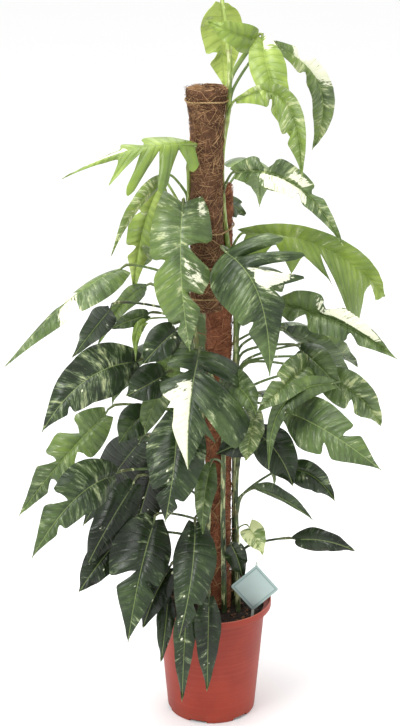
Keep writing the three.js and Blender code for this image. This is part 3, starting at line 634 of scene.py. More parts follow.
    def build(self, shaper: Shaper, chance: float) -> None:
        """Adds the blade to a mesh.

        Args:
            shaper: The mesh in the making.
            chance: The leaf's own number, for its pattern.
        """
        rows, columns = self.GRID_LARGE if self.large else self.GRID_SMALL
        places = self.stations(rows)
        spread = np.linspace(-1, 1, columns + 1)
        across = np.sign(spread) * np.abs(spread) ** self.CROWDED
        steps = len(places) - 1
        grid = bmesh.ops.create_grid(shaper.bm, x_segments=columns, y_segments=steps, size=1.0)["verts"]
        column = np.array([round((v.co.x + 1) / 2 * columns) for v in grid])
        row = np.array([round((v.co.y + 1) / 2 * steps) for v in grid])
        t, u = places[row], across[column]
        points, kept = self.surface(t, u)
        inside = self.sector(t, u)
        along, lay = t * self.length() / LEAF_UNIT, np.sign(u) * kept / LEAF_UNIT
        for i, vert in enumerate(grid):
            vert.co = points[i]
            vert[shaper.number] = i
            shaper.mark(
                vert, lay=lay[i], run=along[i], tone=self.tone, marble=self.marble,
                white=inside[i], chance=chance,
            )
        upper = list({face for vert in grid for face in vert.link_faces})
        for face in upper:
            face.material_index = Skin.UPPER
            face.normal_update()
        for vert in grid:
            vert.normal_update()
        below = [vert.co - vert.normal * self.THICK for vert in grid]
        for element in bmesh.ops.solidify(shaper.bm, geom=upper, thickness=self.THICK)["geom"]:
            if isinstance(element, bmesh.types.BMFace):
                element.material_index = Skin.UNDER
            elif isinstance(element, bmesh.types.BMVert):
                element.co = below[element[shaper.number]]

    def rib_path(self) -> tuple[np.ndarray, np.ndarray]:
        """The rib that stands out under the blade.

        Returns:
            Its points and its radius at each.
        """
        t = np.linspace(*self.RIB_ENDS, 12)
        radii = np.linspace(self.stalk * 0.5, self.RIB_THIN, len(t))
        return self.rib(t) - self.outward(t) * (self.THICK + radii * 0.55 + 0.6)[:, None], radii

    def stalk_line(self, root: np.ndarray) -> Line:
        """Middle line of the stalk.

        Args:
            root: Where it leaves its stem.

        Returns:
            The line from the stem to under the blade's base.
        """
        upright, leaning, bent, above = 0.28, 0.12, 0.12, 0.06
        joins = ((0.0, 1.0), (0.02, 1.3), (0.09, 1.0))
        start, out = self.along(np.array(0.0)), self.outward(np.array(0.0))
        under = [self.rib(np.array(t)) - out * depth for t, depth in joins]
        rise = float(np.linalg.norm(self.base - root))
        first = root + mm(0, 0, rise * upright) + (self.base - root) * mm(leaning, leaning, 0)
        knee = self.base - start * rise * bent + mm(0, 0, rise * above)
        return Line([root, first, mix(knee, under[0], 0.35), under[1], under[2]])


@dataclass(frozen=True)
class Stem:
    """A leafy stem: its line, its leaves from the top down, and its rootlets."""

    name: str
    radius: tuple[float, float]
    line: tuple[np.ndarray, ...]
    leaves: tuple[Leaf, ...]

    SIDES = 16
    STALK_SIDES = 10
    STALK_STEPS = 18
    RIB_SIDES = 6
    LOWEST_ROOT = 250.0
    STEP = 7.0
    SWELL, RING = 0.2, 5.0
    TIP = 15.0  # length of the rounded tip
    TIP_STATIONS = (0.02, 0.08, 0.2, 0.4, 0.7)
    PALES = (300, 1250)  # heights between which the stem goes from dark to lime
    SHEATH, SHEATH_END = 0.6, 0.16
    KNEE, KNEE_PLACE, KNEE_LONG = 0.3, 0.8, 0.06
    ROOTLETS_APART = 46.0
    ROOTLET_SIDES, ROOTLET_STEPS = 6, 9
    ROOTLET_REACH = 40.0  # no rootlet starts farther from the pole's face
    ROOTLET_SEAT = 1.4

    def roots(self, line: Line) -> list[float]:
        """Shares of the stem's length where the stalks leave it, one for each leaf."""
        heights = [leaf.root_z or max(self.LOWEST_ROOT, leaf.base[2] - leaf.drop) for leaf in self.leaves]
        return [line.at_height(z) for z in heights]

    def build_stem(self, shaper: Shaper, line: Line, roots: list[float]) -> None:
        """Adds the stem with a swollen ring at each node.

        Args:
            shaper: The mesh in the making.
            line: The stem's middle line.
            roots: Shares of its length where the nodes are.
        """
        rounded = 1 - self.TIP * np.array(self.TIP_STATIONS) / line.length
        share = np.sort(np.append(np.linspace(0, 1, max(24, round(line.length / self.STEP))), rounded))
        from_tip = (1 - share) * line.length / self.TIP
        radii = mix(self.radius[0], self.radius[1], share) * np.clip(from_tip, 0.01, 1) ** 0.5
        node = np.zeros_like(share)
        for root in roots:
            node = np.maximum(node, np.exp(-(((share - root) * line.length / self.RING) ** 2)))
        points = line.at(share)
        height = ease(points[:, 2], *self.PALES)
        floats = {TONE: 0.25 + 0.6 * height, MARBLE: np.full_like(share, 0.7), WHITE: node, CHANCE: 0.0}
        shaper.rods([points], [radii * (1 + self.SWELL * node)], self.SIDES, Skin.STALK, [floats])

    def build_stalks(self, shaper: Shaper, line: Line, roots: list[float]) -> None:
        """Adds the stalks, each with a sheath at its foot and a knee below its blade, and the ribs.

        Args:
            shaper: The mesh in the making.
            line: The stem's middle line.
            roots: Shares of its length where the stalks leave it.
        """
        share = np.linspace(0, 1, self.STALK_STEPS)
        sheath = self.SHEATH * (1 - ease(share, 0.0, self.SHEATH_END))
        bump = np.exp(-(((share - self.KNEE_PLACE) / self.KNEE_LONG) ** 2))
        paths, radii, floats = [], [], []
        for leaf, root in zip(self.leaves, roots):
            paths.append(leaf.stalk_line(line.at(root)).at(share))
            taper = mix(1.1, 0.75, share) * (1 - 0.45 * ease(share, 0.86, 1.0))
            radii.append(leaf.stalk * (taper + sheath + self.KNEE * bump))
            tone = 0.12 + 0.75 * leaf.tone
            floats.append({TONE: tone, MARBLE: 0.35, WHITE: 0.5 * bump, CHANCE: leaf.tone})
        shaper.rods(paths, radii, self.STALK_SIDES, Skin.STALK, floats)
        ribs = [leaf.rib_path() for leaf in self.leaves]
        tones = [{TONE: 0.3 + 0.6 * leaf.tone, MARBLE: 0.2, WHITE: 0.0, CHANCE: 0.5} for leaf in self.leaves]
        shaper.rods([p for p, _ in ribs], [r for _, r in ribs], self.RIB_SIDES, Skin.STALK, tones)

    def build_rootlets(self, shaper: Shaper, line: Line, draw: random.Random) -> None:
        """Adds the rootlets that run from the stem onto its pole and down it.

        Args:
            shaper: The mesh in the making.
            line: The stem's middle line.
            draw: Source of chance.
        """
        paths, radii = [], []
        share = np.linspace(0, 1, self.ROOTLET_STEPS)
        for start in np.arange(0.08, 0.9, self.ROOTLETS_APART / line.length):
            foot = line.at(start + draw.uniform(-0.01, 0.01))
            pole = UPPER_POLE if foot[2] > UPPER_POLE.bottom + 30 else LOWER_POLE
            offset = foot[:2] - np.array(pole.place)
            angle, away = math.atan2(offset[1], offset[0]), float(np.hypot(*offset))
            if away > pole.radius + self.ROOTLET_REACH or foot[2] > pole.top - 10:
                continue
            turn, fall = draw.choice((-1, 1)) * draw.uniform(0.3, 1.5), draw.uniform(12, 60)
            angles = angle + turn * share**1.3
            seat = mix(away, pole.radius + self.ROOTLET_SEAT, ease(share, 0, 0.4))
            seat = seat + 0.8 * np.sin(9 * share + turn)
            paths.append(round_axis(pole.place, seat, angles, foot[2] - fall * share))
            radii.append(np.linspace(draw.uniform(1.1, 1.7), 0.5, self.ROOTLET_STEPS))
        if paths:
            shaper.rods(paths, radii, self.ROOTLET_SIDES, Skin.ROOTLET)

    def round_at(self, z: float) -> tuple[tuple[float, float], float]:
        """The round that the stem makes at a height.

        Args:
            z: The height.

        Returns:
            Its middle and radius.
        """
        line = Line(list(self.line))
        x, y, _ = line.at(line.at_height(z))
        return (float(x), float(y)), self.radius[0]

    def build(self, materials: list[bpy.types.Material], draw: random.Random) -> bpy.types.Object:
        """Makes the whole leafy stem as one piece.

        Args:
            materials: The materials in the order of Skin.
            draw: Source of chance.

        Returns:
            The finished piece.
        """
        line = Line(list(self.line))
        roots = self.roots(line)
        shaper = Shaper()
        self.build_stem(shaper, line, roots)
        self.build_stalks(shaper, line, roots)
        self.build_rootlets(shaper, line, draw)
        for leaf in self.leaves:
            leaf.build(shaper, draw.uniform(0, 60))
        return piece(self.name + "_grown", shaper.mesh(self.name, materials, 40), (self.name,))


# Coir poles


@dataclass(frozen=True)
class Pole:
    """A coir sleeve felted round a wooden core."""

    name: str
    place: tuple[float, float]
    radius: float
    flare: float
    bottom: float
    top: float
    core: str
    strands: int

    SIDES = 96
    RINGS_APART = 5.0
    FLARES_FROM = 0.86
    CAP = 22.0
    BORE = 8.3
    CORE_RADIUS = 8.0
    CORE_SHOWS = 4.0
    CORE_POINT = (3.0, 12.0)  # how much the core's foot narrows, and over what height
    CORE_SIDES = 40
    BEVEL = 4.0
    LUMP, LUMP_WIDE = 2.2, 17
    PIT, PIT_WIDE = 1.3, 3.1
    MOST_OUT = 2.6
    STRAND_SIDES, STRAND_STEPS = 3, 6
    STRAND_LONG = (14, 46)
    STRAND_RADIUS = (0.2, 0.46)
    LEAN = (0.2, 0.9)  # middle and spread of the strands' lean off the level

    def radius_at(self, z: np.ndarray | float) -> np.ndarray:
        """Radius of the sleeve at a height."""
        share = (np.asarray(z, float) - self.bottom) / (self.top - self.BEVEL - self.bottom)
        return self.radius + self.flare * np.clip((share - self.FLARES_FROM) / (1 - self.FLARES_FROM), 0, 1)

    def roughen(self, vert: bmesh.types.BMVert) -> None:
        """Moves a point of the sleeve in or out, to the lumps and pits of felted coir.

        Args:
            vert: The point.
        """
        x, y, z = vert.co
        out = Vector((x - self.place[0], y - self.place[1], 0))
        if out.length < self.BORE + 1:
            return
        lump = noise.fractal(Vector((x, y, z * 0.7)) / self.LUMP_WIDE, 1.0, 2.0, 3) * self.LUMP
        lump += noise.noise(Vector((x, y, z)) / self.PIT_WIDE) * self.PIT
        vert.co += out.normalized() * min(self.MOST_OUT, lump)

    def build_sleeve(self, materials: list[bpy.types.Material], draw: random.Random) -> bpy.types.Object:
        """Makes the sleeve and the strands that lie on it and stand off it.

        Args:
            materials: The felt and the strand.
            draw: Source of chance.

        Returns:
            The finished piece.
        """
        shaper = Shaper()
        heights = np.arange(self.bottom, self.top - self.BEVEL, self.RINGS_APART)
        profile = [(self.BORE, self.bottom)]
        profile += [(float(self.radius_at(z)), float(z)) for z in heights]
        rim = self.radius + self.flare
        profile += [(rim, self.top - self.BEVEL), (rim - 1.5, self.top - 1), (rim - self.BEVEL, self.top)]
        profile += [(rim * share, self.top - 1) for share in (0.75, 0.6, 0.45, 0.3, 0.15)]
        profile += [(0.0, self.top - 2), (0.0, self.top - self.CAP), (self.BORE, self.top - self.CAP)]
        shaper.spun(profile[::-1] + [(self.BORE, self.bottom)], self.SIDES, self.place)
        for vert in shaper.bm.verts:
            self.roughen(vert)
        self.build_strands(shaper, draw)
        return piece(self.name + "_felt", shaper.mesh(self.name, materials, 180), (self.name,))

    def build_strands(self, shaper: Shaper, draw: random.Random) -> None:
        """Adds the loose strands of coir.

        Args:
            shaper: The mesh in the making.
            draw: Source of chance.
        """
        paths, radii, floats = [], [], []
        share = np.linspace(0, 1, self.STRAND_STEPS)
        bow = np.sin(math.pi * share)
        on_side, on_top = (self.bottom + 4, self.top - 6), (self.top - 30, self.top - 3)
        for i in range(self.strands):
            on_cap = i < self.strands // 8
            z = draw.uniform(*(on_top if on_cap else on_side))
            angle = draw.uniform(0, FULL_TURN)
            long = draw.uniform(*self.STRAND_LONG)
            lean = draw.gauss(*self.LEAN)
            radius = float(self.radius_at(z))
            angles = angle + long * math.cos(lean) / radius * share + draw.uniform(-0.2, 0.2) * share**2
            heights = np.clip(z + long * math.sin(lean) * share, self.bottom, self.top + 1)
            lift = draw.uniform(0.2, 1.6) + draw.uniform(0, 3.4) * bow * (draw.random() < 0.3)
            seat = self.radius_at(heights) + lift
            if on_cap and draw.random() < 0.6:
                seat = radius * mix(1.0, draw.uniform(0.1, 0.8), share)
                heights = self.top + draw.uniform(-1, 1.5) + 2.5 * bow * draw.random()
            paths.append(round_axis(self.place, seat, angles, heights))
            radii.append(np.full(self.STRAND_STEPS, draw.uniform(*self.STRAND_RADIUS)))
            floats.append({TONE: draw.random()})
        shaper.rods(paths, radii, self.STRAND_SIDES, 1, floats)

    def build_core(self, material: bpy.types.Material) -> bpy.types.Object:
        """Makes the wooden core, which narrows at its foot.

        Args:
            material: The wood.

        Returns:
            The finished piece.
        """
        radius, (narrower, point) = self.CORE_RADIUS, self.CORE_POINT
        low, high = self.bottom - self.CORE_SHOWS, self.top - self.CAP - 0.3
        profile = [(0, low), (radius - narrower, low), (radius, low + point), (radius, high), (0, high)]
        shaper = Shaper()
        shaper.spun(profile, self.CORE_SIDES, self.place)
        return piece(self.core + "_wood", shaper.mesh(self.core, [material], 40), (self.core,))


LOWER_POLE = Pole("coir_pole_lower", (13, 6), 24.5, 0, 60, 1085, "core_lower", 2300)
UPPER_POLE = Pole("coir_pole_upper", (-11, -44.5), 29.5, 8, 860, 1277, "core_upper", 2200)


# Twine


@dataclass(frozen=True)
class Tie:
    """Twine of two twisted yarns, pulled tight round one pole, or round both and the stems on them."""

    name: str
    z: float
    rounds: tuple[tuple[tuple[float, float], float], ...]

    SEAT = 3.0
    YARN = 0.85
    LAY_LENGTH = 6.5
    POINTS = 220
    YARN_SIDES = 7
    SAG = 1.2
    KNOT_POINTS, KNOT_SIDES = 30, 6
    KNOT_RADIUS = 1.2
    COIL = (2.6, 1.3, 2.4)
    TAIL = (12.0, 2.0, 9.0)  # how far a tail runs sideways, out and down
    TAIL_RADII = (1.1, 0.7)

    def loop(self, share: np.ndarray) -> np.ndarray:
        """Points of the twine's middle line.

        Args:
            share: Shares of its way round.

        Returns:
            The points.
        """
        centre = sum(np.array(place, float) for place, _ in self.rounds) / len(self.rounds)
        points = []
        for angle in np.linspace(0, FULL_TURN, 4 * self.POINTS) + math.pi / 2:
            outward = np.array((math.cos(angle), math.sin(angle)))
            place, radius = max(self.rounds, key=lambda r: np.dot(np.array(r[0]) - centre, outward) + r[1])
            spot = np.array(place) + outward * (radius + self.SEAT)
            points.append((spot[0], spot[1], self.z + self.SAG * math.sin(3 * angle)))
        points = np.array(points)
        way = np.concatenate(((0.0,), np.cumsum(np.linalg.norm(np.diff(points, axis=0), axis=1))))
        return np.stack([np.interp(share * way[-1], way, points[:, k]) for k in range(3)], axis=-1)

    def build(self, material: bpy.types.Material) -> bpy.types.Object:
        """Makes the tie, with its knot at the back.

        Args:
            material: The twine's material.

        Returns:
            The finished piece.
        """
        share = np.linspace(0, 1, self.POINTS)
        loop = self.loop(share)
        across, up = frames_along(loop)
        steps = np.linalg.norm(np.diff(loop, axis=0), axis=1)
        twist = np.concatenate(((0.0,), np.cumsum(steps))) / self.LAY_LENGTH * FULL_TURN
        paths = []
        for start in (0.0, math.pi):
            side = across * np.cos(twist + start)[:, None] + up * np.sin(twist + start)[:, None]
            paths.append(loop + side * self.YARN)
        shaper = Shaper()
        radii = [np.full(self.POINTS, self.YARN * 1.05)] * 2
        shaper.rods(paths, radii, self.YARN_SIDES, 0, [{TONE: 0.3}, {TONE: 0.8}])
        self.build_knot(shaper, loop[0])
        return piece(self.name + "_yarn", shaper.mesh(self.name, [material], 180), (self.name,))

    def build_knot(self, shaper: Shaper, place: np.ndarray) -> None:
        """Adds the knot where the ends meet, with a short tail on each side.

        Args:
            shaper: The mesh in the making.
            place: Where the ends meet.
        """
        count, (wide, deep, high), (aside, out, down) = self.KNOT_POINTS, self.COIL, self.TAIL
        turn, share = np.linspace(0, 2 * FULL_TURN, count), np.linspace(0, 1, count)
        coil = np.stack((wide * np.cos(turn), deep * np.sin(turn) + 1.0, high * np.sin(turn / 2)), axis=-1)
        paths = [coil + place]
        for sign in (-1, 1):
            tail = np.stack((sign * (2 + aside * share), 1 + out * share, -down * share**2), axis=-1)
            paths.append(place + tail)
        thin = np.linspace(*self.TAIL_RADII, count)
        radii = [np.full(count, self.KNOT_RADIUS), thin, thin]
        shaper.rods(paths, radii, self.KNOT_SIDES, 0, [{TONE: 0.5}] * 3)


# Pot and soil


@dataclass(frozen=True)
class Pot:
    """The nursery pot: a tapered body, a deep rim, feet and drain holes."""

    height: float = 240
    base_radius: float = 88
    body_radius: float = 109
    lip_radius: float = 120
    lip_height: float = 15
    lip_wall: float = 2.4
    lip_round: float = 1.2
    wall: float = 2.2
    floor: float = 3
    steps: int = 160
    drains: int = 6
    drain_radius: float = 5
    drain_ring: float = 48
    slots: int = 6
    slot_size: tuple[float, float, float] = (18, 36, 12)
    slot_turn: float = 12

    EDGE = 3.0
    EDGE_TURNS = (0.25, 0.5, 0.75, 1.0)
    OUTSIDE = (12, 40, 80, 120, 160, 200)  # heights of the rings of the body's outside
    INSIDE = (180, 120, 60, 10)
    DRAIN_SIDES = 24
    CUT_DEPTH = 12

    def outer(self, z: float) -> float:
        """Radius of the body's outside at a height."""
        return mix(self.base_radius, self.body_radius, z / self.height)

    def profile(self) -> list[tuple[float, float]]:
        """Outline of the pot from the middle of its base, round the rim, to the middle of its floor.

        Returns:
            Radius and height of each point.
        """
        lip, top = self.height - self.lip_height, self.height
        face, back = self.lip_radius, self.lip_radius - self.lip_wall
        edge, foot = self.EDGE, self.base_radius - self.EDGE
        outline = [(0.0, 0.0), (foot, 0.0)]
        for turn in self.EDGE_TURNS:
            angle = turn * math.pi / 2
            outline.append((foot + edge * math.sin(angle), edge - edge * math.cos(angle)))
        outline += [(self.outer(z), z) for z in (*self.OUTSIDE, lip - 8, lip - 1.5)]
        outline += [
            (back - 1.5, lip - 0.6), (back, lip), (face - 0.4, lip + 0.4), (face, lip + self.lip_round),
            (face, top - 2.2), (face - 0.35, top - 0.8), (face - 1.2, top), (back + 0.3, top - 0.4),
            (back, top - 1.4), (back, lip + 3.4), (back - 0.8, lip + 2.2),
            (self.outer(lip) - self.wall, lip + 1.2),
        ]
        outline += [(self.outer(z) - self.wall, z) for z in (*self.INSIDE, self.floor + 2)]
        return outline + [(self.outer(self.floor) - self.wall - 2, self.floor), (0.0, self.floor)]

    def cutter(self) -> bpy.types.Object:
        """Makes the shape that cuts the drain holes and the gaps between the feet.

        Returns:
            The object to take away from the pot.
        """
        tool = bmesh.new()
        ring, radius = self.drain_ring, self.drain_radius
        for i in range(self.drains):
            angle = i / self.drains * FULL_TURN
            spot = Matrix.Translation((ring * math.cos(angle), ring * math.sin(angle), 1))
            bmesh.ops.create_cone(
                tool, cap_ends=True, segments=self.DRAIN_SIDES, radius1=radius, radius2=radius,
                depth=self.CUT_DEPTH, matrix=spot,
            )
        slot = Matrix.Translation((self.base_radius, 0, 0)) @ Matrix.Diagonal((*self.slot_size, 1))
        for i in range(self.slots):
            turn = Matrix.Rotation(i / self.slots * FULL_TURN + math.radians(self.slot_turn), 4, "Z")
            bmesh.ops.create_cube(tool, size=1, matrix=turn @ slot)
        mesh = bpy.data.meshes.new("pot_cutter")
        tool.to_mesh(mesh)
        tool.free()
        return bpy.data.objects.new("pot_cutter", mesh)

    def build(self, material: bpy.types.Material) -> bpy.types.Object:
        """Makes the pot.

        Args:
            material: The moulded plastic.

        Returns:
            The finished piece.
        """
        shaper = Shaper()
        shaper.spun(self.profile(), self.steps, (0, 0))
        whole = bpy.data.meshes.new("pot_whole")
        shaper.bm.to_mesh(whole)
        shaper.bm.free()
        body, cutter = bpy.data.objects.new("pot_whole", whole), self.cutter()
        for thing in (body, cutter):
            bpy.context.scene.collection.objects.link(thing)
        cut = body.modifiers.new("cut", "BOOLEAN")
        cut.operation, cut.solver, cut.object = "DIFFERENCE", "EXACT", cutter
        bpy.context.view_layer.update()
        made = Shaper()
        made.bm.from_mesh(body.evaluated_get(bpy.context.evaluated_depsgraph_get()).data)
        for thing in (body, cutter):
            bpy.data.objects.remove(thing)
        return piece("pot_moulded", made.mesh("pot", [material], 35), ("pot",))


@dataclass(frozen=True)
class Soil:
    """The soil that fills the pot, with crumbs and bits of bark on top."""

    pot: Pot
    top: float = 219
    bumps: float = 3.2
    low: float = 3.3
    gap: float = 0.3
    rings: int = 56
    steps: int = 150
    crumbs: int = 420
    barks: int = 70

    GRAIN, GRAIN_WIDE = 2.2, 6
    CRUMB_SIZE, BARK_SIZE = (0.8, 2.4), (2.2, 4.5)
    CRUMB_FLAT, BARK_FLAT = 0.8, (0.3, 0.45)
    DRAWN_OUT = (1.2, 2.2)
    SPREAD = 0.96  # share of the soil's radius that the crumbs lie on
    SUNK = 0.15

    def height(self, x: float, y: float) -> float:
        """Height of the soil's top, in lumps and fine grain.

        Args:
            x: Place to the right.
            y: Place to the back.

        Returns:
            The height.
        """
        lump = math.sin(x * 0.11 + 1) * math.cos(y * 0.13) + 0.6 * math.sin(x * 0.23 - y * 0.19)
        grain = noise.fractal(Vector((x, y, 0)) / self.GRAIN_WIDE, 1.0, 2.0, 3) * self.GRAIN
        return self.top + self.bumps * 0.8 * lump + grain

    def build(self, materials: list[bpy.types.Material], draw: random.Random) -> bpy.types.Object:
        """Makes the soil.

        Args:
            materials: The peat and the bark.
            draw: Source of chance.

        Returns:
            The finished piece.
        """
        shaper = Shaper()
        edge = self.pot.outer(self.top) - self.pot.wall - self.gap
        foot = self.pot.outer(self.low) - self.pot.wall - 2.5
        profile = [(0.0, self.low), (foot - 1, self.low), (foot + 0.6, self.low + 3)]
        profile += [(edge - 0.6, self.top - 9)]
        profile += [(edge * (1 - i / self.rings), self.top) for i in range(self.rings)] + [(0.0, self.top)]
        shaper.spun(profile, self.steps, (0, 0))
        for vert in shaper.bm.verts:
            if vert.co.z > self.top - 1:
                vert.co.z = self.height(vert.co.x, vert.co.y)
        for i in range(self.crumbs + self.barks):
            bark = i >= self.crumbs
            reach, angle = edge * math.sqrt(draw.random()) * self.SPREAD, draw.uniform(0, FULL_TURN)
            x, y = reach * math.cos(angle), reach * math.sin(angle)
            size = draw.uniform(*(self.BARK_SIZE if bark else self.CRUMB_SIZE))
            long = draw.uniform(*self.DRAWN_OUT)
            flat = Matrix.Diagonal((long, 1, draw.uniform(*self.BARK_FLAT) if bark else self.CRUMB_FLAT, 1))
            turn = Matrix.Rotation(draw.uniform(0, FULL_TURN), 4, "Z")
            tilt = Matrix.Rotation(draw.gauss(0, 0.3), 4, "X")
            spot = Matrix.Translation((x, y, self.height(x, y) + size * self.SUNK)) @ turn @ tilt @ flat
            crumb = bmesh.ops.create_icosphere(shaper.bm, subdivisions=1, radius=size, matrix=spot)["verts"]
            for face in {face for vert in crumb for face in vert.link_faces}:
                face.material_index = int(bark)
        return piece("soil_crumbly", shaper.mesh("soil", materials, 50), ("soil",))


# Care label


@dataclass(frozen=True)
class Label:
    """The plain diamond card and the flat stake that holds it."""

    side: float = 68
    thick: float = 0.8
    turn: float = 4
    lean: float = 5
    corner: float = 4.2
    stake_width: float = 5
    stake_thick: float = 2
    above: float = 6
    foot: float = 165
    gap: float = 0.3

    RIM = (0.18, 2)  # how far the rounding of the card's rims reaches, and its segments
    CORNER_SEGMENTS = 6
    STAKE_EDGE = (0.35, 3)
    POINT, POINT_WIDE = 14, 0.25
    END, END_WIDE = 6, 0.6
    STAKE_CUTS = 9

    def placing(self) -> Matrix:
        """Where the card stands: its middle, leaned back and turned a little.

        Returns:
            The matrix from the card's own frame to the part's.
        """
        upper, lower = at(256.6, 562.7, -44), at(252.8, 612.6, -50)
        middle = mix(upper, lower, 0.5)
        lean = Matrix.Rotation(math.radians(-self.lean), 4, "X")
        return Matrix.Translation(Vector(middle)) @ lean @ Matrix.Rotation(math.radians(self.turn), 4, "Y")

    def build_card(self, material: bpy.types.Material) -> bpy.types.Object:
        """Makes the card with rounded corners.

        Args:
            material: The card's material.

        Returns:
            The finished piece.
        """
        shaper = Shaper()
        bm = shaper.bm
        bmesh.ops.create_cube(bm, size=1, matrix=Matrix.Diagonal((self.side, self.thick, self.side, 1)))
        through = [e for e in bm.edges if abs(e.verts[0].co.y - e.verts[1].co.y) > self.thick / 2]
        round_edges(bm, through, self.corner, self.CORNER_SEGMENTS)
        rims = [e for e in bm.edges if len(e.link_faces) == 2 and e.calc_face_angle() > 0.8]
        round_edges(bm, rims, *self.RIM)
        for vert in bm.verts:
            shaper.mark(vert, lay=vert.co.x / self.side * 2, run=vert.co.z / self.side * 2)
        diamond = self.placing() @ Matrix.Rotation(math.radians(45), 4, "Y")
        bmesh.ops.transform(bm, matrix=diamond, verts=bm.verts[:])
        return piece("label_card_printed", shaper.mesh("label_card", [material], 30), ("label_card",))

    def build_stake(self, material: bpy.types.Material) -> bpy.types.Object:
        """Makes the stake behind the card, pointed at its foot.

        Args:
            material: The stake's material.

        Returns:
            The finished piece.
        """
        shaper = Shaper()
        bm = shaper.bm
        top = self.side / math.sqrt(2) + self.above
        middle = self.placing().translation.z
        low = -(middle - self.foot) / math.cos(math.radians(self.lean))
        behind = self.thick / 2 + self.gap + self.stake_thick / 2
        size = Matrix.Diagonal((self.stake_width, self.stake_thick, top - low, 1))
        bmesh.ops.create_cube(bm, size=1, matrix=Matrix.Translation((0, behind, (top + low) / 2)) @ size)
        for height in np.linspace(low + self.POINT, top - self.END, self.STAKE_CUTS):
            geom = bm.verts[:] + bm.edges[:] + bm.faces[:]
            bmesh.ops.bisect_plane(bm, geom=geom, plane_co=(0, 0, float(height)), plane_no=(0, 0, 1))
        for vert in bm.verts:
            if vert.co.z < low + 1:
                vert.co.x *= self.POINT_WIDE
            elif vert.co.z > top - 1:
                vert.co.x *= self.END_WIDE
        edges = [e for e in bm.edges if len(e.link_faces) == 2 and e.calc_face_angle() > 0.6]
        round_edges(bm, edges, *self.STAKE_EDGE)
        bmesh.ops.transform(bm, matrix=self.placing(), verts=bm.verts[:])
        mesh = shaper.mesh("label_stake", [material], 30)
        return piece("label_stake_moulded", mesh, ("label_stake",))


# Finishes


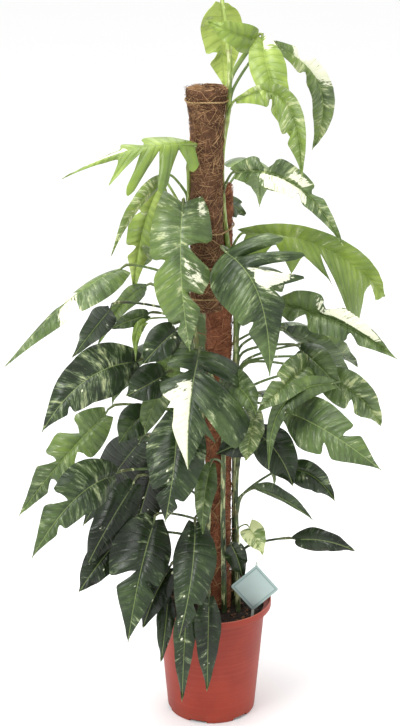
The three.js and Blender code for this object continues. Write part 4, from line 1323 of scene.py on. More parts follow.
class Graph:
    """Node graph of one material, with short calls for the nodes that the finishes use."""

    def __init__(self, name: str) -> None:
        """Starts a material with a principled surface.

        Args:
            name: Name of the material.
        """
        self.material = bpy.data.materials.new(name)
        self.material.use_nodes = True
        self.nodes = self.material.node_tree.nodes
        self.links = self.material.node_tree.links
        self.surface = next(node for node in self.nodes if node.type == "BSDF_PRINCIPLED")
        self.count = 0

    def add(
        self, kind: str, inputs: dict[str | int, object] | None = None, **settings: object
    ) -> bpy.types.Node:
        """Adds a node.

        Args:
            kind: Type of the node.
            inputs: Sockets by name or index, each with a value or another socket.
            **settings: Properties of the node.

        Returns:
            The new node.
        """
        node = self.nodes.new(kind)
        self.count += 1
        node.location = (-200 * (self.count % 12) - 300, -220 * (self.count // 12))
        for name, value in settings.items():
            setattr(node, name, value)
        for name, value in (inputs or {}).items():
            if isinstance(value, bpy.types.NodeSocket):
                self.links.new(value, node.inputs[name])
            else:
                node.inputs[name].default_value = value
        return node

    def attribute(self, name: str) -> bpy.types.NodeSocket:
        """Value of a point float."""
        return self.add("ShaderNodeAttribute", attribute_name=name).outputs["Fac"]

    def calc(self, operation: str, *values: object) -> bpy.types.NodeSocket:
        """Result of a sum on numbers."""
        return self.add("ShaderNodeMath", dict(enumerate(values)), operation=operation).outputs[0]

    def plus(self, value: object, other: object, share: object) -> bpy.types.NodeSocket:
        """Sum of a value and a share of another."""
        return self.calc("ADD", value, self.calc("MULTIPLY", other, share))

    def sway(self, value: object, cloud: object, amount: float, middle: float = 0.5) -> bpy.types.NodeSocket:
        """A value moved up and down by what a cloud has over its middle."""
        return self.plus(value, self.calc("SUBTRACT", cloud, middle), amount)

    def vector(self, x: object, y: object, z: object) -> bpy.types.NodeSocket:
        """Vector of three numbers."""
        return self.add("ShaderNodeCombineXYZ", {0: x, 1: y, 2: z}).outputs[0]

    def place(self) -> bpy.types.NodeSocket:
        """Place in the object's own frame, in metres."""
        return self.add("ShaderNodeTexCoord").outputs["Object"]

    def stretched(self, x: float, y: float, z: float) -> bpy.types.NodeSocket:
        """Place in the object's own frame, scaled along each axis."""
        inputs = {"Vector": self.place(), "Scale": (x, y, z)}
        return self.add("ShaderNodeMapping", inputs).outputs[0]

    def noise(
        self, vector: object, scale: float, detail: float = 3, rough: float = 0.55
    ) -> bpy.types.NodeSocket:
        """Cloudy value from 0 to 1, with so many clouds in one unit."""
        inputs = {"Vector": vector, "Scale": scale, "Detail": detail, "Roughness": rough}
        return self.add("ShaderNodeTexNoise", inputs).outputs["Fac"]

    def cells(self, vector: object, scale: float) -> bpy.types.NodeSocket:
        """Distance to the nearest of many scattered points."""
        return self.add("ShaderNodeTexVoronoi", {"Vector": vector, "Scale": scale}).outputs["Distance"]

    def step(
        self, value: object, low: object, high: object, start: float = 0, end: float = 1
    ) -> bpy.types.NodeSocket:
        """Smooth step from start, where a value is low, to end, where it is high."""
        inputs = {0: value, 1: low, 2: high, 3: start, 4: end}
        return self.add("ShaderNodeMapRange", inputs, interpolation_type="SMOOTHSTEP").outputs[0]

    def ramp(self, value: object, *stops: tuple[float, tuple[float, ...]]) -> bpy.types.NodeSocket:
        """Colour that goes through stops.

        Args:
            value: Where on the ramp.
            *stops: Position and colour of each stop.

        Returns:
            The colour's socket.
        """
        node = self.add("ShaderNodeValToRGB", {"Fac": value})
        elements = node.color_ramp.elements
        while len(elements) < len(stops):
            elements.new(1.0)
        for element, (position, colour) in zip(elements, stops):
            element.position = position
            element.color = (*colour[:3], 1.0)
        return node.outputs["Color"]

    def blend(self, share: object, first: object, second: object, kind: str = "MIX") -> bpy.types.NodeSocket:
        """Mix of two colours, by the share of the second."""
        inputs = {0: share, 6: first, 7: second}
        return self.add("ShaderNodeMix", inputs, data_type="RGBA", blend_type=kind).outputs[2]

    def finish(
        self, colour: object, roughness: object, height: object = None, depth: float = 0.3, **constants: float
    ) -> bpy.types.Material:
        """Joins colour, roughness and relief to the surface.

        Args:
            colour: The colour's socket.
            roughness: The roughness socket or value.
            height: The relief's socket.
            depth: Depth of the relief in millimetres.
            **constants: Other inputs of the surface, with _ for a space.

        Returns:
            The finished material.
        """
        self.links.new(colour, self.surface.inputs["Base Color"])
        if isinstance(roughness, bpy.types.NodeSocket):
            self.links.new(roughness, self.surface.inputs["Roughness"])
        else:
            self.surface.inputs["Roughness"].default_value = roughness
        if height is not None:
            bump = self.add("ShaderNodeBump", {"Height": height, "Distance": depth * MM, "Strength": 1.0})
            self.links.new(bump.outputs[0], self.surface.inputs["Normal"])
        for name, value in constants.items():
            self.surface.inputs[name.replace("_", " ")].default_value = value
        return self.material


class Face(Enum):
    """The two faces of a blade."""

    UPPER = "upper"
    UNDER = "under"


@dataclass(frozen=True)
class BladeFinish:
    """Variegated leaf: green by tone, streaked with cream along its side veins, with white sectors, and with
    painted shade along the sunken side veins and painted light on the puckers between them.
    """

    face: Face
    roughness: float
    pale: float = 0.0

    GREENS = (
        (0.0, (0.005, 0.010, 0.003)), (0.25, (0.018, 0.035, 0.010)), (0.5, (0.090, 0.142, 0.040)),
        (0.75, (0.190, 0.278, 0.042)), (1.0, (0.430, 0.540, 0.125)),
    )
    CREAM = (0.56, 0.60, 0.30, 1)
    WHITE_PART = (0.74, 0.75, 0.56, 1)
    HALO = (0.20, 0.26, 0.13, 1)
    RIB = (0.34, 0.44, 0.15, 1)
    UNDERSIDE = (0.20, 0.27, 0.12, 1)
    SIDES_APART = 5.0  # keeps the two halves of a blade from mirroring each other
    RAGGED = 3.4
    # middle of the painted vein shading: the tone falls below it on the veins and rises above it between them
    VEIN_SHADE_MIDDLE = 0.27
    DOTS = 3.4  # pale dots in one unit

    def build(self) -> bpy.types.Material:
        """Makes the finish.

        Returns:
            The material.
        """
        g = Graph(f"leaf_{self.face.value}")
        lay, run = g.attribute(LAY), g.attribute(RUN)
        tone, marble = g.attribute(TONE), g.attribute(MARBLE)
        white, chance = g.attribute(WHITE), g.attribute(CHANCE)
        apart = g.plus(chance, g.calc("SIGN", lay), self.SIDES_APART)

        def streaks(across: float, along: float, shift: float) -> bpy.types.NodeSocket:
            """Clouds drawn out along the side veins, shifted to differ from others."""
            x, y = g.calc("MULTIPLY", lay, across), g.calc("MULTIPLY", run, along)
            return g.noise(g.vector(x, y, g.calc("ADD", apart, shift)), 1.0, 3, 0.6)

        broad, thin, fine = streaks(1.0, 2.4, 0), streaks(1.8, 9.0, 11), streaks(7.0, 30.0, 23)
        pattern = g.plus(g.plus(g.calc("MULTIPLY", broad, 0.42), thin, 0.38), fine, 0.20)
        edge = g.calc("SUBTRACT", 0.650, g.calc("MULTIPLY", marble, 0.23))
        streaked = g.step(pattern, g.calc("SUBTRACT", edge, 0.012), g.calc("ADD", edge, 0.045))
        streaked = g.calc("MULTIPLY", streaked, g.step(marble, 0.0, 0.8, 0.22, 0.9))
        halo = g.step(pattern, g.calc("SUBTRACT", edge, 0.08), g.calc("ADD", edge, 0.005), 0, 0.5)
        sector = g.step(g.sway(white, pattern, self.RAGGED), 0.44, 0.56)
        flecks = g.step(g.plus(thin, fine, 0.4), 0.80, 0.88, 0, 0.7)
        sector = g.calc("MULTIPLY", sector, g.calc("SUBTRACT", 1.0, flecks))

        vein = g.calc("PINGPONG", g.calc("MULTIPLY", run, LEAF_UNIT / VEIN_APART), 0.5)
        varied = g.sway(g.sway(tone, broad, 0.28), fine, 0.12)
        varied = g.sway(varied, g.noise(g.place(), 11, 2), 0.75)
        # Painted shade and light: the tone is darkened along the sunken side veins and lightened on the
        # puckers between them, standing in for the shading of the quilted relief
        varied = g.sway(varied, vein, 0.16, self.VEIN_SHADE_MIDDLE)
        colour = g.ramp(varied, *self.GREENS)
        colour = g.blend(halo, colour, self.HALO)
        colour = g.blend(g.step(vein, 0.07, 0.0, 0, 0.035), colour, self.RIB)
        colour = g.blend(streaked, colour, self.CREAM)
        colour = g.blend(sector, colour, self.WHITE_PART)
        from_rib = g.calc("ABSOLUTE", lay)
        colour = g.blend(g.step(from_rib, 0.030, 0.012, 0, 0.38), colour, self.RIB)
        fine_lay, fine_run = g.calc("MULTIPLY", lay, self.DOTS), g.calc("MULTIPLY", run, self.DOTS)
        dots = g.step(g.cells(g.vector(fine_lay, fine_run, chance), 1.0), 0.20, 0.13)
        dotted = g.calc("MULTIPLY", dots, g.step(from_rib, 0.40, 0.34))
        dotted = g.calc("MULTIPLY", dotted, g.step(broad, 0.54, 0.60))
        dotted = g.calc("MULTIPLY", dotted, g.step(tone, 0.30, 0.22))
        colour = g.blend(dotted, colour, self.WHITE_PART)
        if self.pale:
            colour = g.blend(self.pale, colour, self.UNDERSIDE, "SCREEN")
        grain = g.noise(g.place(), 900, 2)
        height = g.plus(g.step(vein, 0.0, 0.16), grain, 0.35)
        rough = g.sway(self.roughness, grain, 0.25)
        return g.finish(colour, rough, height, 0.4, Specular_IOR_Level=0.36)


@dataclass(frozen=True)
class StalkFinish:
    """Smooth green stem with cream streaks down its length and brown rings at its nodes."""

    mottle: tuple[float, ...] = (0.17, 0.24, 0.07, 1)
    node: tuple[float, ...] = (0.16, 0.11, 0.045, 1)

    def build(self) -> bpy.types.Material:
        """Makes the finish.

        Returns:
            The material.
        """
        g = Graph("stalk")
        tone, marble, ring = g.attribute(TONE), g.attribute(MARBLE), g.attribute(WHITE)
        lengthways = g.noise(g.stretched(1, 1, 0.12), 190, 3, 0.6)
        mottled = g.noise(g.place(), 60, 3)
        colour = g.ramp(tone, *BladeFinish.GREENS)
        colour = g.blend(g.step(mottled, 0.4, 0.65, 0, 0.35), colour, self.mottle)
        edge = g.calc("SUBTRACT", 0.68, g.calc("MULTIPLY", marble, 0.2))
        streaked = g.step(lengthways, edge, g.calc("ADD", edge, 0.04), 0, 0.8)
        colour = g.blend(streaked, colour, BladeFinish.CREAM)
        speck = g.noise(g.place(), 500, 2)
        brown = g.calc("MULTIPLY", ring, g.step(speck, 0.35, 0.6, 0.25, 0.8))
        colour = g.blend(brown, colour, self.node)
        rough = g.step(mottled, 0.2, 0.8, 0.36, 0.55)
        return g.finish(colour, rough, g.calc("ADD", lengthways, speck), 0.12)


@dataclass(frozen=True)
class RoughFinish:
    """Matt natural stuff that goes between three colours in clouds and specks."""

    name: str
    dark: tuple[float, ...]
    middle: tuple[float, ...]
    light: tuple[float, ...]
    clouds: float
    specks: float
    stretch: tuple[float, float, float] = (1, 1, 1)
    depth: float = 0.5
    roughness: float = 0.9
    by_tone: float = 0.0

    def build(self) -> bpy.types.Material:
        """Makes the finish.

        Returns:
            The material.
        """
        g = Graph(self.name)
        where = g.stretched(*self.stretch)
        cloud, speck = g.noise(where, self.clouds, 4, 0.6), g.noise(where, self.specks, 3, 0.65)
        value = g.plus(g.calc("MULTIPLY", cloud, 0.5), speck, 0.5)
        if self.by_tone:
            value = g.sway(value, g.attribute(TONE), self.by_tone)
        colour = g.ramp(value, (0.3, self.dark), (0.5, self.middle), (0.72, self.light))
        rough = g.step(speck, 0.2, 0.8, self.roughness, self.roughness - 0.15)
        return g.finish(colour, rough, value, self.depth, Specular_IOR_Level=0.3)


@dataclass(frozen=True)
class PotFinish:
    """Moulded orange-brown plastic, scuffed, with dust under the rim and at the foot, and a painted highlight
    along the top edge of the rim.
    """

    base: tuple[float, ...] = tint(150, 51, 33)
    deep: tuple[float, ...] = tint(134, 42, 26)
    # pale colour of the scuffs and scratches, and of the painted highlight on the rim's top edge
    scuff_and_highlight: tuple[float, ...] = tint(214, 132, 108)
    dust: tuple[float, ...] = tint(120, 78, 58)
    rim_top: float = 0.240

    def build(self) -> bpy.types.Material:
        """Makes the finish.

        Returns:
            The material.
        """
        g = Graph("pot_plastic")
        height = g.add("ShaderNodeSeparateXYZ", {0: g.place()}).outputs[2]
        cloud = g.noise(g.place(), 9, 4, 0.6)
        rings = g.noise(g.stretched(1, 1, 240), 1.0, 1)
        colour = g.blend(g.step(cloud, 0.35, 0.65), self.deep, self.base)
        colour = g.blend(g.step(rings, 0.45, 0.7, 0, 0.05), colour, self.scuff_and_highlight)
        scratch = g.noise(g.stretched(30, 30, 260), 1.0, 4, 0.7)
        colour = g.blend(g.step(scratch, 0.64, 0.74, 0, 0.2), colour, self.scuff_and_highlight)
        speck = g.noise(g.place(), 240, 3, 0.7)
        low = g.step(height, 0.05, 0.0, 0, 0.16)
        under = g.calc("MULTIPLY", g.step(height, 0.205, 0.224), g.step(height, 0.2262, 0.2252, 0, 0.22))
        dusty = g.step(g.calc("ADD", speck, g.calc("ADD", low, under)), 0.62, 0.82, 0, 0.6)
        colour = g.blend(dusty, colour, self.dust)
        # Painted highlight: the top edge of the rim is lightened with the scuff colour, as if it caught the
        # light
        edge = g.step(height, self.rim_top - 0.0022, self.rim_top - 0.0004, 0, 0.4)
        colour = g.blend(edge, colour, self.scuff_and_highlight)
        rough = g.plus(0.42, g.plus(dusty, cloud, 0.2), 0.5)
        relief = g.plus(g.calc("MULTIPLY", rings, 0.25), speck, 0.3)
        return g.finish(colour, rough, relief, 0.12, Specular_IOR_Level=0.32)


@dataclass(frozen=True)
class CardFinish:
    """Printed card with a pale middle and a plain dark line inside its edge."""

    paper: tuple[float, ...] = tint(156, 176, 173)
    middle: tuple[float, ...] = tint(172, 190, 187)
    line: tuple[float, ...] = tint(44, 92, 92)
    stain: tuple[float, ...] = tint(150, 160, 140)
    fleck: tuple[float, ...] = tint(130, 140, 130)

    def build(self) -> bpy.types.Material:
        """Makes the finish.

        Returns:
            The material.
        """
        g = Graph("card")
        out = g.calc("MAXIMUM", g.calc("ABSOLUTE", g.attribute(LAY)), g.calc("ABSOLUTE", g.attribute(RUN)))
        fibre = g.noise(g.place(), 700, 3, 0.6)
        cloud = g.noise(g.place(), 30, 3)
        colour = g.blend(g.step(out, 0.84, 0.78), self.paper, self.middle)
        line = g.calc("MULTIPLY", g.step(out, 0.835, 0.845), g.step(out, 0.885, 0.875))
        colour = g.blend(g.calc("MULTIPLY", line, 0.5), colour, self.line)
        colour = g.blend(g.step(cloud, 0.45, 0.75, 0, 0.14), colour, self.stain)
        colour = g.blend(g.step(fibre, 0.55, 0.75, 0, 0.12), colour, self.fleck)
        rough = g.step(fibre, 0.2, 0.8, 0.42, 0.6)
        return g.finish(colour, rough, fibre, 0.05)


ROOTLET = RoughFinish(
    "rootlet", tint(96, 70, 46), tint(138, 108, 74), tint(176, 150, 108), 60, 400, depth=0.2, roughness=0.8
)
PEAT = RoughFinish("peat", tint(18, 13, 10), tint(36, 27, 20), tint(76, 58, 43), 70, 600, depth=1.2)
BARK = RoughFinish("bark", tint(60, 38, 24), tint(98, 66, 42), tint(146, 108, 74), 90, 500, (1, 1, 3))
FELT_UPPER = RoughFinish(
    "coir_felt_upper", tint(38, 25, 16), tint(92, 62, 42), tint(142, 104, 72), 60, 420, (1, 1, 1.4), 1.6
)
STRAND_UPPER = RoughFinish(
    "coir_strand_upper", tint(70, 46, 30), tint(134, 95, 62), tint(194, 156, 112), 40, 300,
    depth=0.1, by_tone=0.7,
)
FELT_LOWER = RoughFinish(
    "coir_felt_lower", tint(56, 31, 20), tint(122, 72, 47), tint(164, 108, 74), 60, 420, (1, 1, 1.4), 1.6
)
STRAND_LOWER = RoughFinish(
    "coir_strand_lower", tint(84, 46, 29), tint(146, 90, 59), tint(192, 138, 98), 40, 300,
    depth=0.1, by_tone=0.7,
)
WOOD = RoughFinish(
    "wood", tint(128, 96, 62), tint(170, 134, 92), tint(204, 172, 126), 60, 260, (1, 1, 0.06), 0.2, 0.75
)
JUTE = RoughFinish(
    "jute", tint(108, 84, 52), tint(152, 124, 84), tint(188, 164, 122), 80, 700, depth=0.25, by_tone=0.25
)
STAKE_PLASTIC = RoughFinish(
    "stake_plastic", tint(176, 184, 176), tint(196, 204, 196), tint(214, 220, 212), 20, 300,
    (1, 1, 0.3), 0.05, 0.5,
)


# The leafy stems, read off the picture from the top of each stem down


STEM_RIGHT = Stem(
    "stem_right",
    (6.5, 4.5),
    (
        mm(46, 12, 190), mm(46, 8, 420), mm(45, 4, 650), mm(44, -6, 860), at(225, 225, -28),
        at(222, 185, -36), at(222.5, 150, -39), at(228, 112, -42), at(229, 88, -40),
        at(230, 62, -30), at(227, 40, -18),
    ),
    (
        Leaf(
            "crown_hanging", at(222, 4, 4), at(222, 44, 44), at(225, 88, 40), large=True,
            width=(40, 40), opening=(-15, -15), curl=-20, cuts=(Cut(0, 0.55, 0.6, 0.1),), drop=70,
            stalk=3.4, tone=1, marble=0.1,
        ),
        Leaf(
            "crown_folded", at(255, 40, -36), at(234, 33, -70), at(206, 21, -60), large=True,
            width=(24, 28), opening=(35, 15), widest=0.25, base_share=0.6, drop=95, stalk=3.2,
            tone=0.66, marble=0.06,
        ),
        Leaf(
            "crown_lime", at(262, 38, -30), at(272, 85, -92), at(294, 142, -112), large=True,
            width=(32, 36), opening=(25, 20),
            cuts=(Cut(0, 0.6, 0.5, 0.08), Cut(1, 0.62, 0.5, 0.08)), drop=90, tone=0.84, marble=0.2,
            white=((1, 0, 0.12),),
        ),
        Leaf(
            "crown_arching", at(276, 46, -2), at(320, 88, 40), at(312, 150, 80), large=True,
            width=(26, 30), opening=(25, 10), widest=0.55,
            cuts=(Cut(1, 0.2, 0.7, 0.08), Cut(0, 0.3, 0.5, 0.08)), drop=110, tone=0.6, marble=0.5,
            white=((1, 0.14, 0.45),),
        ),
        Leaf(
            "upper_streaked", at(236, 101, -68), at(285, 101, -125), at(302, 177, -165),
            large=True, width=(40, 26), opening=(20, 66), widest=0.55, base_share=0.12,
            cuts=(Cut(0, 0.32, 0.8, 0.08), Cut(0, 0.72, 0.5, 0.06)), drop=45, tone=0.76,
            marble=0.46,
        ),
        Leaf(
            "upper_white", at(236, 173, -78), at(294, 184, -140), at(344, 247, -170), large=True,
            width=(32, 34), opening=(34, 48),
            cuts=(
                Cut(1, 0.24, 0.8, 0.1), Cut(1, 0.62, 0.5, 0.07),
                Cut(0, 0.17, 0.75, 0.07), Cut(0, 0.55, 0.5, 0.06),
            ),
            drop=60, tone=0.46, marble=0.45,
            white=((0, 0.24, 0.62, 0.1, 1), (1, 0.45, 0.55, 0.2, 0.9)),
        ),
        Leaf(
            "behind_pole", at(228, 204, 14), at(236, 207, 50), at(245, 216, 75), width=(24, 18),
            drop=40, stalk=1.8, tone=0.3, marble=0.1,
        ),
        Leaf(
            "front_marbled", at(225, 252, -128), at(259, 296, -205), at(270, 376, -225),
            large=True, width=(76, 124), opening=(10, 10), phase=1, widest=0.18, base_share=0.72,
            slant_base=(-12, 34), slant_tip=(30, 38), narrow=(1, 0.48),
            cuts=(
                Cut(1, 0.1, 0.85, 0.05), Cut(1, 0.23, 0.8, 0.09),
                Cut(1, 0.4, 0.7, 0.28), Cut(0, 0.62, 0.3, 0.05),
            ),
            drop=70, tone=0.34, marble=0.22, white=((1, 0.24, 0.4, 0.1, 0.9),),
        ),
        Leaf(
            "right_lobed", at(246, 234, -58), at(322, 247, -95), at(385, 296, -60), large=True,
            width=(160, 50), opening=(-14, 66), curl=8, widest=0.6, slant_tip=(46, 24),
            cuts=(
                Cut(0, 0.18, 0.8, 0.14), Cut(0, 0.33, 0.75, 0.34),
                Cut(0, 0.46, 0.85, 0.08), Cut(0, 0.88, 0.85, 0.1),
            ),
            drop=60, tone=0.7, marble=0.3,
        ),
        Leaf(
            "right_cream", at(281, 304, -62), at(338, 322, -135), at(397, 359, -150), large=True,
            width=(40, 40), opening=(42, 54), phase=2,
            cuts=(Cut(0, 0.22, 0.7, 0.1), Cut(0, 0.6, 0.6, 0.08), Cut(1, 0.36, 0.5, 0.08)),
            drop=90, tone=0.42, marble=0.3, white=((1, 0.3, 0.8, 0.25, 1),),
        ),
        Leaf(
            "right_grey", at(286, 331, 0), at(322, 354, 40), at(354, 385, 95), width=(40, 40),
            opening=(-55, 60), drop=60, tone=0.32, marble=0.2,
        ),
        Leaf(
            "right_middle", at(300, 350, -50), at(319, 366, -95), at(340, 390, -110),
            width=(36, 34), opening=(10, 20), drop=60, tone=0.35, marble=0.15,
        ),
        Leaf(
            "right_small", at(312, 347, 20), at(336, 352, 70), at(358, 367, 120), width=(34, 30),
            opening=(-40, 45), drop=70, tone=0.42, marble=0.35,
        ),
        Leaf(
            "right_pale", at(322, 377, -50), at(358, 396, -70), at(381, 426, -50), width=(40, 38),
            opening=(25, 50), cuts=(Cut(0, 0.4, 0.5, 0.08),), drop=100, tone=0.5, marble=0.48,
        ),
        Leaf(
            "right_streaked", at(309, 364, -75), at(286, 384, -150), at(257, 412, -185),
            width=(36, 36), opening=(45, 45), cuts=(Cut(0, 0.5, 0.5, 0.08),), drop=70, tone=0.5,
            marble=0.5,
        ),
        Leaf(
            "right_hanging", at(334, 384, -120), at(284, 404, -170), at(269, 469, -180),
            width=(22, 24), opening=(30, 30), cuts=(Cut(1, 0.5, 0.5, 0.08),), drop=60, tone=0.44,
            marble=0.22,
        ),
        Leaf(
            "right_green", at(286, 412, -95), at(328, 432, -190), at(381, 470, -225), large=True,
            width=(56, 52), opening=(12, 12), phase=3,
            cuts=(Cut(1, 0.6, 0.65, 0.08), Cut(0, 0.45, 0.4, 0.06)), drop=60, tone=0.42,
            marble=0.22,
        ),
    ),
)

STEM_LEFT = Stem(
    "stem_left",
    (6, 4),
    (
        mm(-20, 10, 190), mm(-20, 4, 420), mm(-20, 0, 650), mm(-32, -26, 800), mm(-48, -42, 900),
        mm(-48, -46, 1000), at(189, 190, -46), at(188, 160, -50),
    ),
    (
        Leaf(
            "left_finger", at(194, 145, -88), at(128, 151, -140), at(62, 179, -130), large=True,
            width=(46, 108), opening=(-52, 14), curl=10, slant_base=(-32, -10), slant_tip=(34, 50),
            narrow=(0.35, 0.16),
            cuts=(
                Cut(1, 0.11, 0.85, 0.1), Cut(1, 0.25, 0.88, 0.09),
                Cut(1, 0.38, 0.85, 0.08), Cut(0, 0.34, 0.6, 0.08),
            ),
            drop=45, tone=0.72, marble=0.12, white=((0, 0.5, 0.8, 0.1, 0.8),),
        ),
        Leaf(
            "left_strip", at(168, 177, -34), at(136, 208, -80), at(111, 257, -100), width=(19, 17),
            opening=(45, -40), drop=45, tone=0.62, marble=0.6,
        ),
        Leaf(
            "left_lime", at(160, 183, 10), at(142, 234, 40), at(134, 292, 62), large=True,
            width=(36, 34), opening=(25, 20),
            cuts=(Cut(0, 0.6, 0.7, 0.08), Cut(1, 0.6, 0.7, 0.08), Cut(0, 0.3, 0.5, 0.07)), drop=75,
            tone=0.8, marble=0.25,
        ),
        Leaf(
            "front_key", at(183, 203, -92), at(181, 272, -150), at(190, 351, -165), large=True,
            width=(62, 68), opening=(12, 3), phase=0.5, widest=0.42, base_share=0.72,
            narrow=(1, 0.8),
            cuts=(
                Cut(1, 0.3, 0.72, 0.1), Cut(1, 0.62, 0.7, 0.08),
                Cut(0, 0.8, 0.5, 0.05), Cut(0, 0.36, 0.35, 0.04),
            ),
            drop=70, tone=0.5, marble=0.42,
            white=((1, 0.02, 0.1, 0.5, 0.95), (1, 0.4, 0.5, 0.1, 0.8)),
        ),
        Leaf(
            "left_far", at(122, 269, -66), at(68, 301, -120), at(3, 369, -130), large=True,
            width=(48, 46), opening=(-58, 54),
            cuts=(Cut(0, 0.5, 0.85, 0.1), Cut(1, 0.46, 0.85, 0.1)), drop=70, tone=0.52,
            marble=0.42, white=((0, 0.4, 0.54), (1, 0.44, 0.56)),
        ),
        Leaf(
            "left_dark", at(146, 287, 16), at(121, 306, 60), at(97, 347, 110), width=(18, 20),
            opening=(30, 30), drop=70, tone=0.46, marble=0.12,
        ),
        Leaf(
            "left_gloss", at(110, 310, -20), at(94, 329, 10), at(72, 358, 45), width=(27, 27),
            drop=60, tone=0.16, marble=0.1,
        ),
        Leaf(
            "left_small", at(148, 315, -40), at(129, 321, -64), at(111, 329, -66), width=(18, 16),
            drop=50, tone=0.3, marble=0.2,
        ),
        Leaf(
            "left_sliver", at(146, 322, -60), at(137, 334, -78), at(136, 361, -84), width=(11, 10),
            drop=40, stalk=1.8, tone=0.66, marble=0.2,
        ),
        Leaf(
            "left_marbled", at(138, 362, -66), at(86, 380, -150), at(42, 432, -185), large=True,
            width=(52, 56), opening=(14, 14), phase=1.5, cuts=(Cut(1, 0.7, 0.3, 0.04),), drop=70,
            tone=0.2, marble=0.36,
        ),
        Leaf(
            "left_shaded", at(176, 331, -68), at(160, 345, -105), at(143, 364, -115),
            width=(34, 32), drop=50, tone=0.22, marble=0.12,
        ),
        Leaf(
            "left_star", at(146, 414, -24), at(133, 424, -50), at(119, 443, -62), width=(34, 32),
            drop=40, tone=0.24, marble=0.1,
        ),
        Leaf(
            "left_round", at(165, 375, -64), at(147, 385, -96), at(126, 396, -104), width=(38, 34),
            drop=60, tone=0.2, marble=0.15,
        ),
        Leaf(
            "left_olive", at(172, 352, -44), at(155, 402, -50), at(138, 440, -50), width=(30, 32),
            drop=60, tone=0.5, marble=0.3,
        ),
        Leaf(
            "left_lobed", at(106, 415, -40), at(63, 459, -70), at(19, 516, -60), large=True,
            width=(46, 42), opening=(25, 25),
            cuts=(
                Cut(0, 0.26, 0.7, 0.09), Cut(0, 0.52, 0.7, 0.09),
                Cut(1, 0.36, 0.6, 0.09), Cut(1, 0.66, 0.6, 0.08),
            ),
            drop=80, tone=0.5, marble=0.34,
        ),
    ),
)

STEM_FRONT = Stem(
    "stem_front",
    (5.5, 4),
    (
        mm(26, -26, 190), mm(22, -27, 420), mm(18, -28, 640), at(207, 362, -52),
    ),
    (
        Leaf(
            "front_white", at(200, 350, -92), at(190, 406, -200), at(188, 469, -245), large=True,
            width=(68, 140), opening=(14, 6), phase=0.3, base_share=0.6, slant_base=(6, -8),
            slant_tip=(34, 50), narrow=(0.7, 0.42),
            cuts=(
                Cut(1, 0.14, 0.85, 0.07), Cut(1, 0.42, 0.8, 0.07),
                Cut(0, 0.18, 0.75, 0.06), Cut(0, 0.42, 0.45, 0.36),
            ),
            drop=50, tone=0.28, marble=0.18, white=((0, 0.3, 1),),
        ),
        Leaf(
            "front_fold", at(222, 381, -66), at(242, 390, -130), at(256, 414, -160),
            width=(34, 32), opening=(20, 30), drop=50, tone=0.35, marble=0.2,
        ),
        Leaf(
            "front_grey", at(177, 414, -92), at(174, 466, -175), at(165, 522, -205), large=True,
            width=(60, 62), opening=(8, 8), phase=2.5,
            cuts=(Cut(0, 0.66, 0.6, 0.05), Cut(1, 0.76, 0.4, 0.05)), drop=40, tone=0.2,
            marble=0.22,
        ),
        Leaf(
            "front_stripe", at(256, 411, -76), at(250, 436, -125), at(246, 461, -150),
            width=(30, 26), drop=60, tone=0.45, marble=0.6,
        ),
        Leaf(
            "front_narrow", at(211, 464, -84), at(204, 500, -130), at(203, 534, -150),
            width=(22, 22), drop=40, tone=0.4, marble=0.3,
        ),
    ),
)

STEM_LOW_LEFT = Stem(
    "stem_low_left",
    (5.5, 4),
    (
        mm(-10, -25, 190), mm(-9, -26, 330), mm(-6, -28, 460), mm(-8, -34, 540),
    ),
    (
        Leaf(
            "low_dark", at(141, 441, 0), at(112, 478, 40), at(83, 526, 70), width=(50, 48),
            opening=(10, 15), drop=90, tone=0.1, marble=0.1,
        ),
        Leaf(
            "low_ribbed", at(115, 476, -95), at(74, 500, -190), at(32, 558, -225), large=True,
            width=(54, 44), opening=(18, 18), phase=1.1,
            cuts=(Cut(0, 0.52, 0.75, 0.1), Cut(1, 0.7, 0.4, 0.06)), drop=80, tone=0.28,
            marble=0.24,
        ),
        Leaf(
            "low_behind", at(134, 484, -44), at(108, 526, -90), at(86, 568, -110), width=(40, 40),
            opening=(10, 10), drop=60, tone=0.06, marble=0.06,
        ),
        Leaf(
            "low_wavy", at(116, 543, -66), at(97, 566, -110), at(79, 592, -130), width=(34, 34),
            opening=(10, 10), wave=8, drop=60, tone=0.05, marble=0.05,
        ),
        Leaf(
            "low_backing", at(158, 452, 34), at(144, 500, 60), at(128, 556, 80), width=(50, 50),
            opening=(10, 10), drop=70, tone=0.06, marble=0.03,
        ),
        Leaf(
            "low_black", at(170, 568, -96), at(154, 598, -140), at(143, 628, -155), width=(30, 28),
            root_z=330, tone=0, marble=0,
        ),
        Leaf(
            "low_large", at(155, 520, -76), at(140, 574, -165), at(128, 642, -200), large=True,
            width=(70, 52), opening=(12, 18), phase=0.8, narrow=(0.8, 1),
            cuts=(Cut(0, 0.46, 0.8, 0.08), Cut(1, 0.5, 0.4, 0.05)), drop=60, tone=0.16,
            marble=0.12,
        ),
        Leaf(
            "low_front", at(195, 523, -112), at(191, 580, -200), at(179, 638, -225), large=True,
            width=(42, 48), opening=(8, 8), phase=2.2, cuts=(Cut(1, 0.66, 0.4, 0.06),), drop=40,
            tone=0.16, marble=0.14,
        ),
        Leaf(
            "hanging_left", at(187, 606, -136), at(184, 652, -172), at(182, 702, -166),
            width=(24, 22), root_z=300, tone=0.22, marble=0.2,
        ),
        Leaf(
            "hanging_front", at(209, 598, -134), at(208, 645, -176), at(207, 691, -172),
            width=(28, 26), root_z=320, tone=0.14, marble=0.12,
        ),
        Leaf(
            "over_rim", at(168, 598, -102), at(165, 630, -146), at(161, 662, -150), width=(20, 18),
            root_z=280, tone=0.1, marble=0.05,
        ),
    ),
)

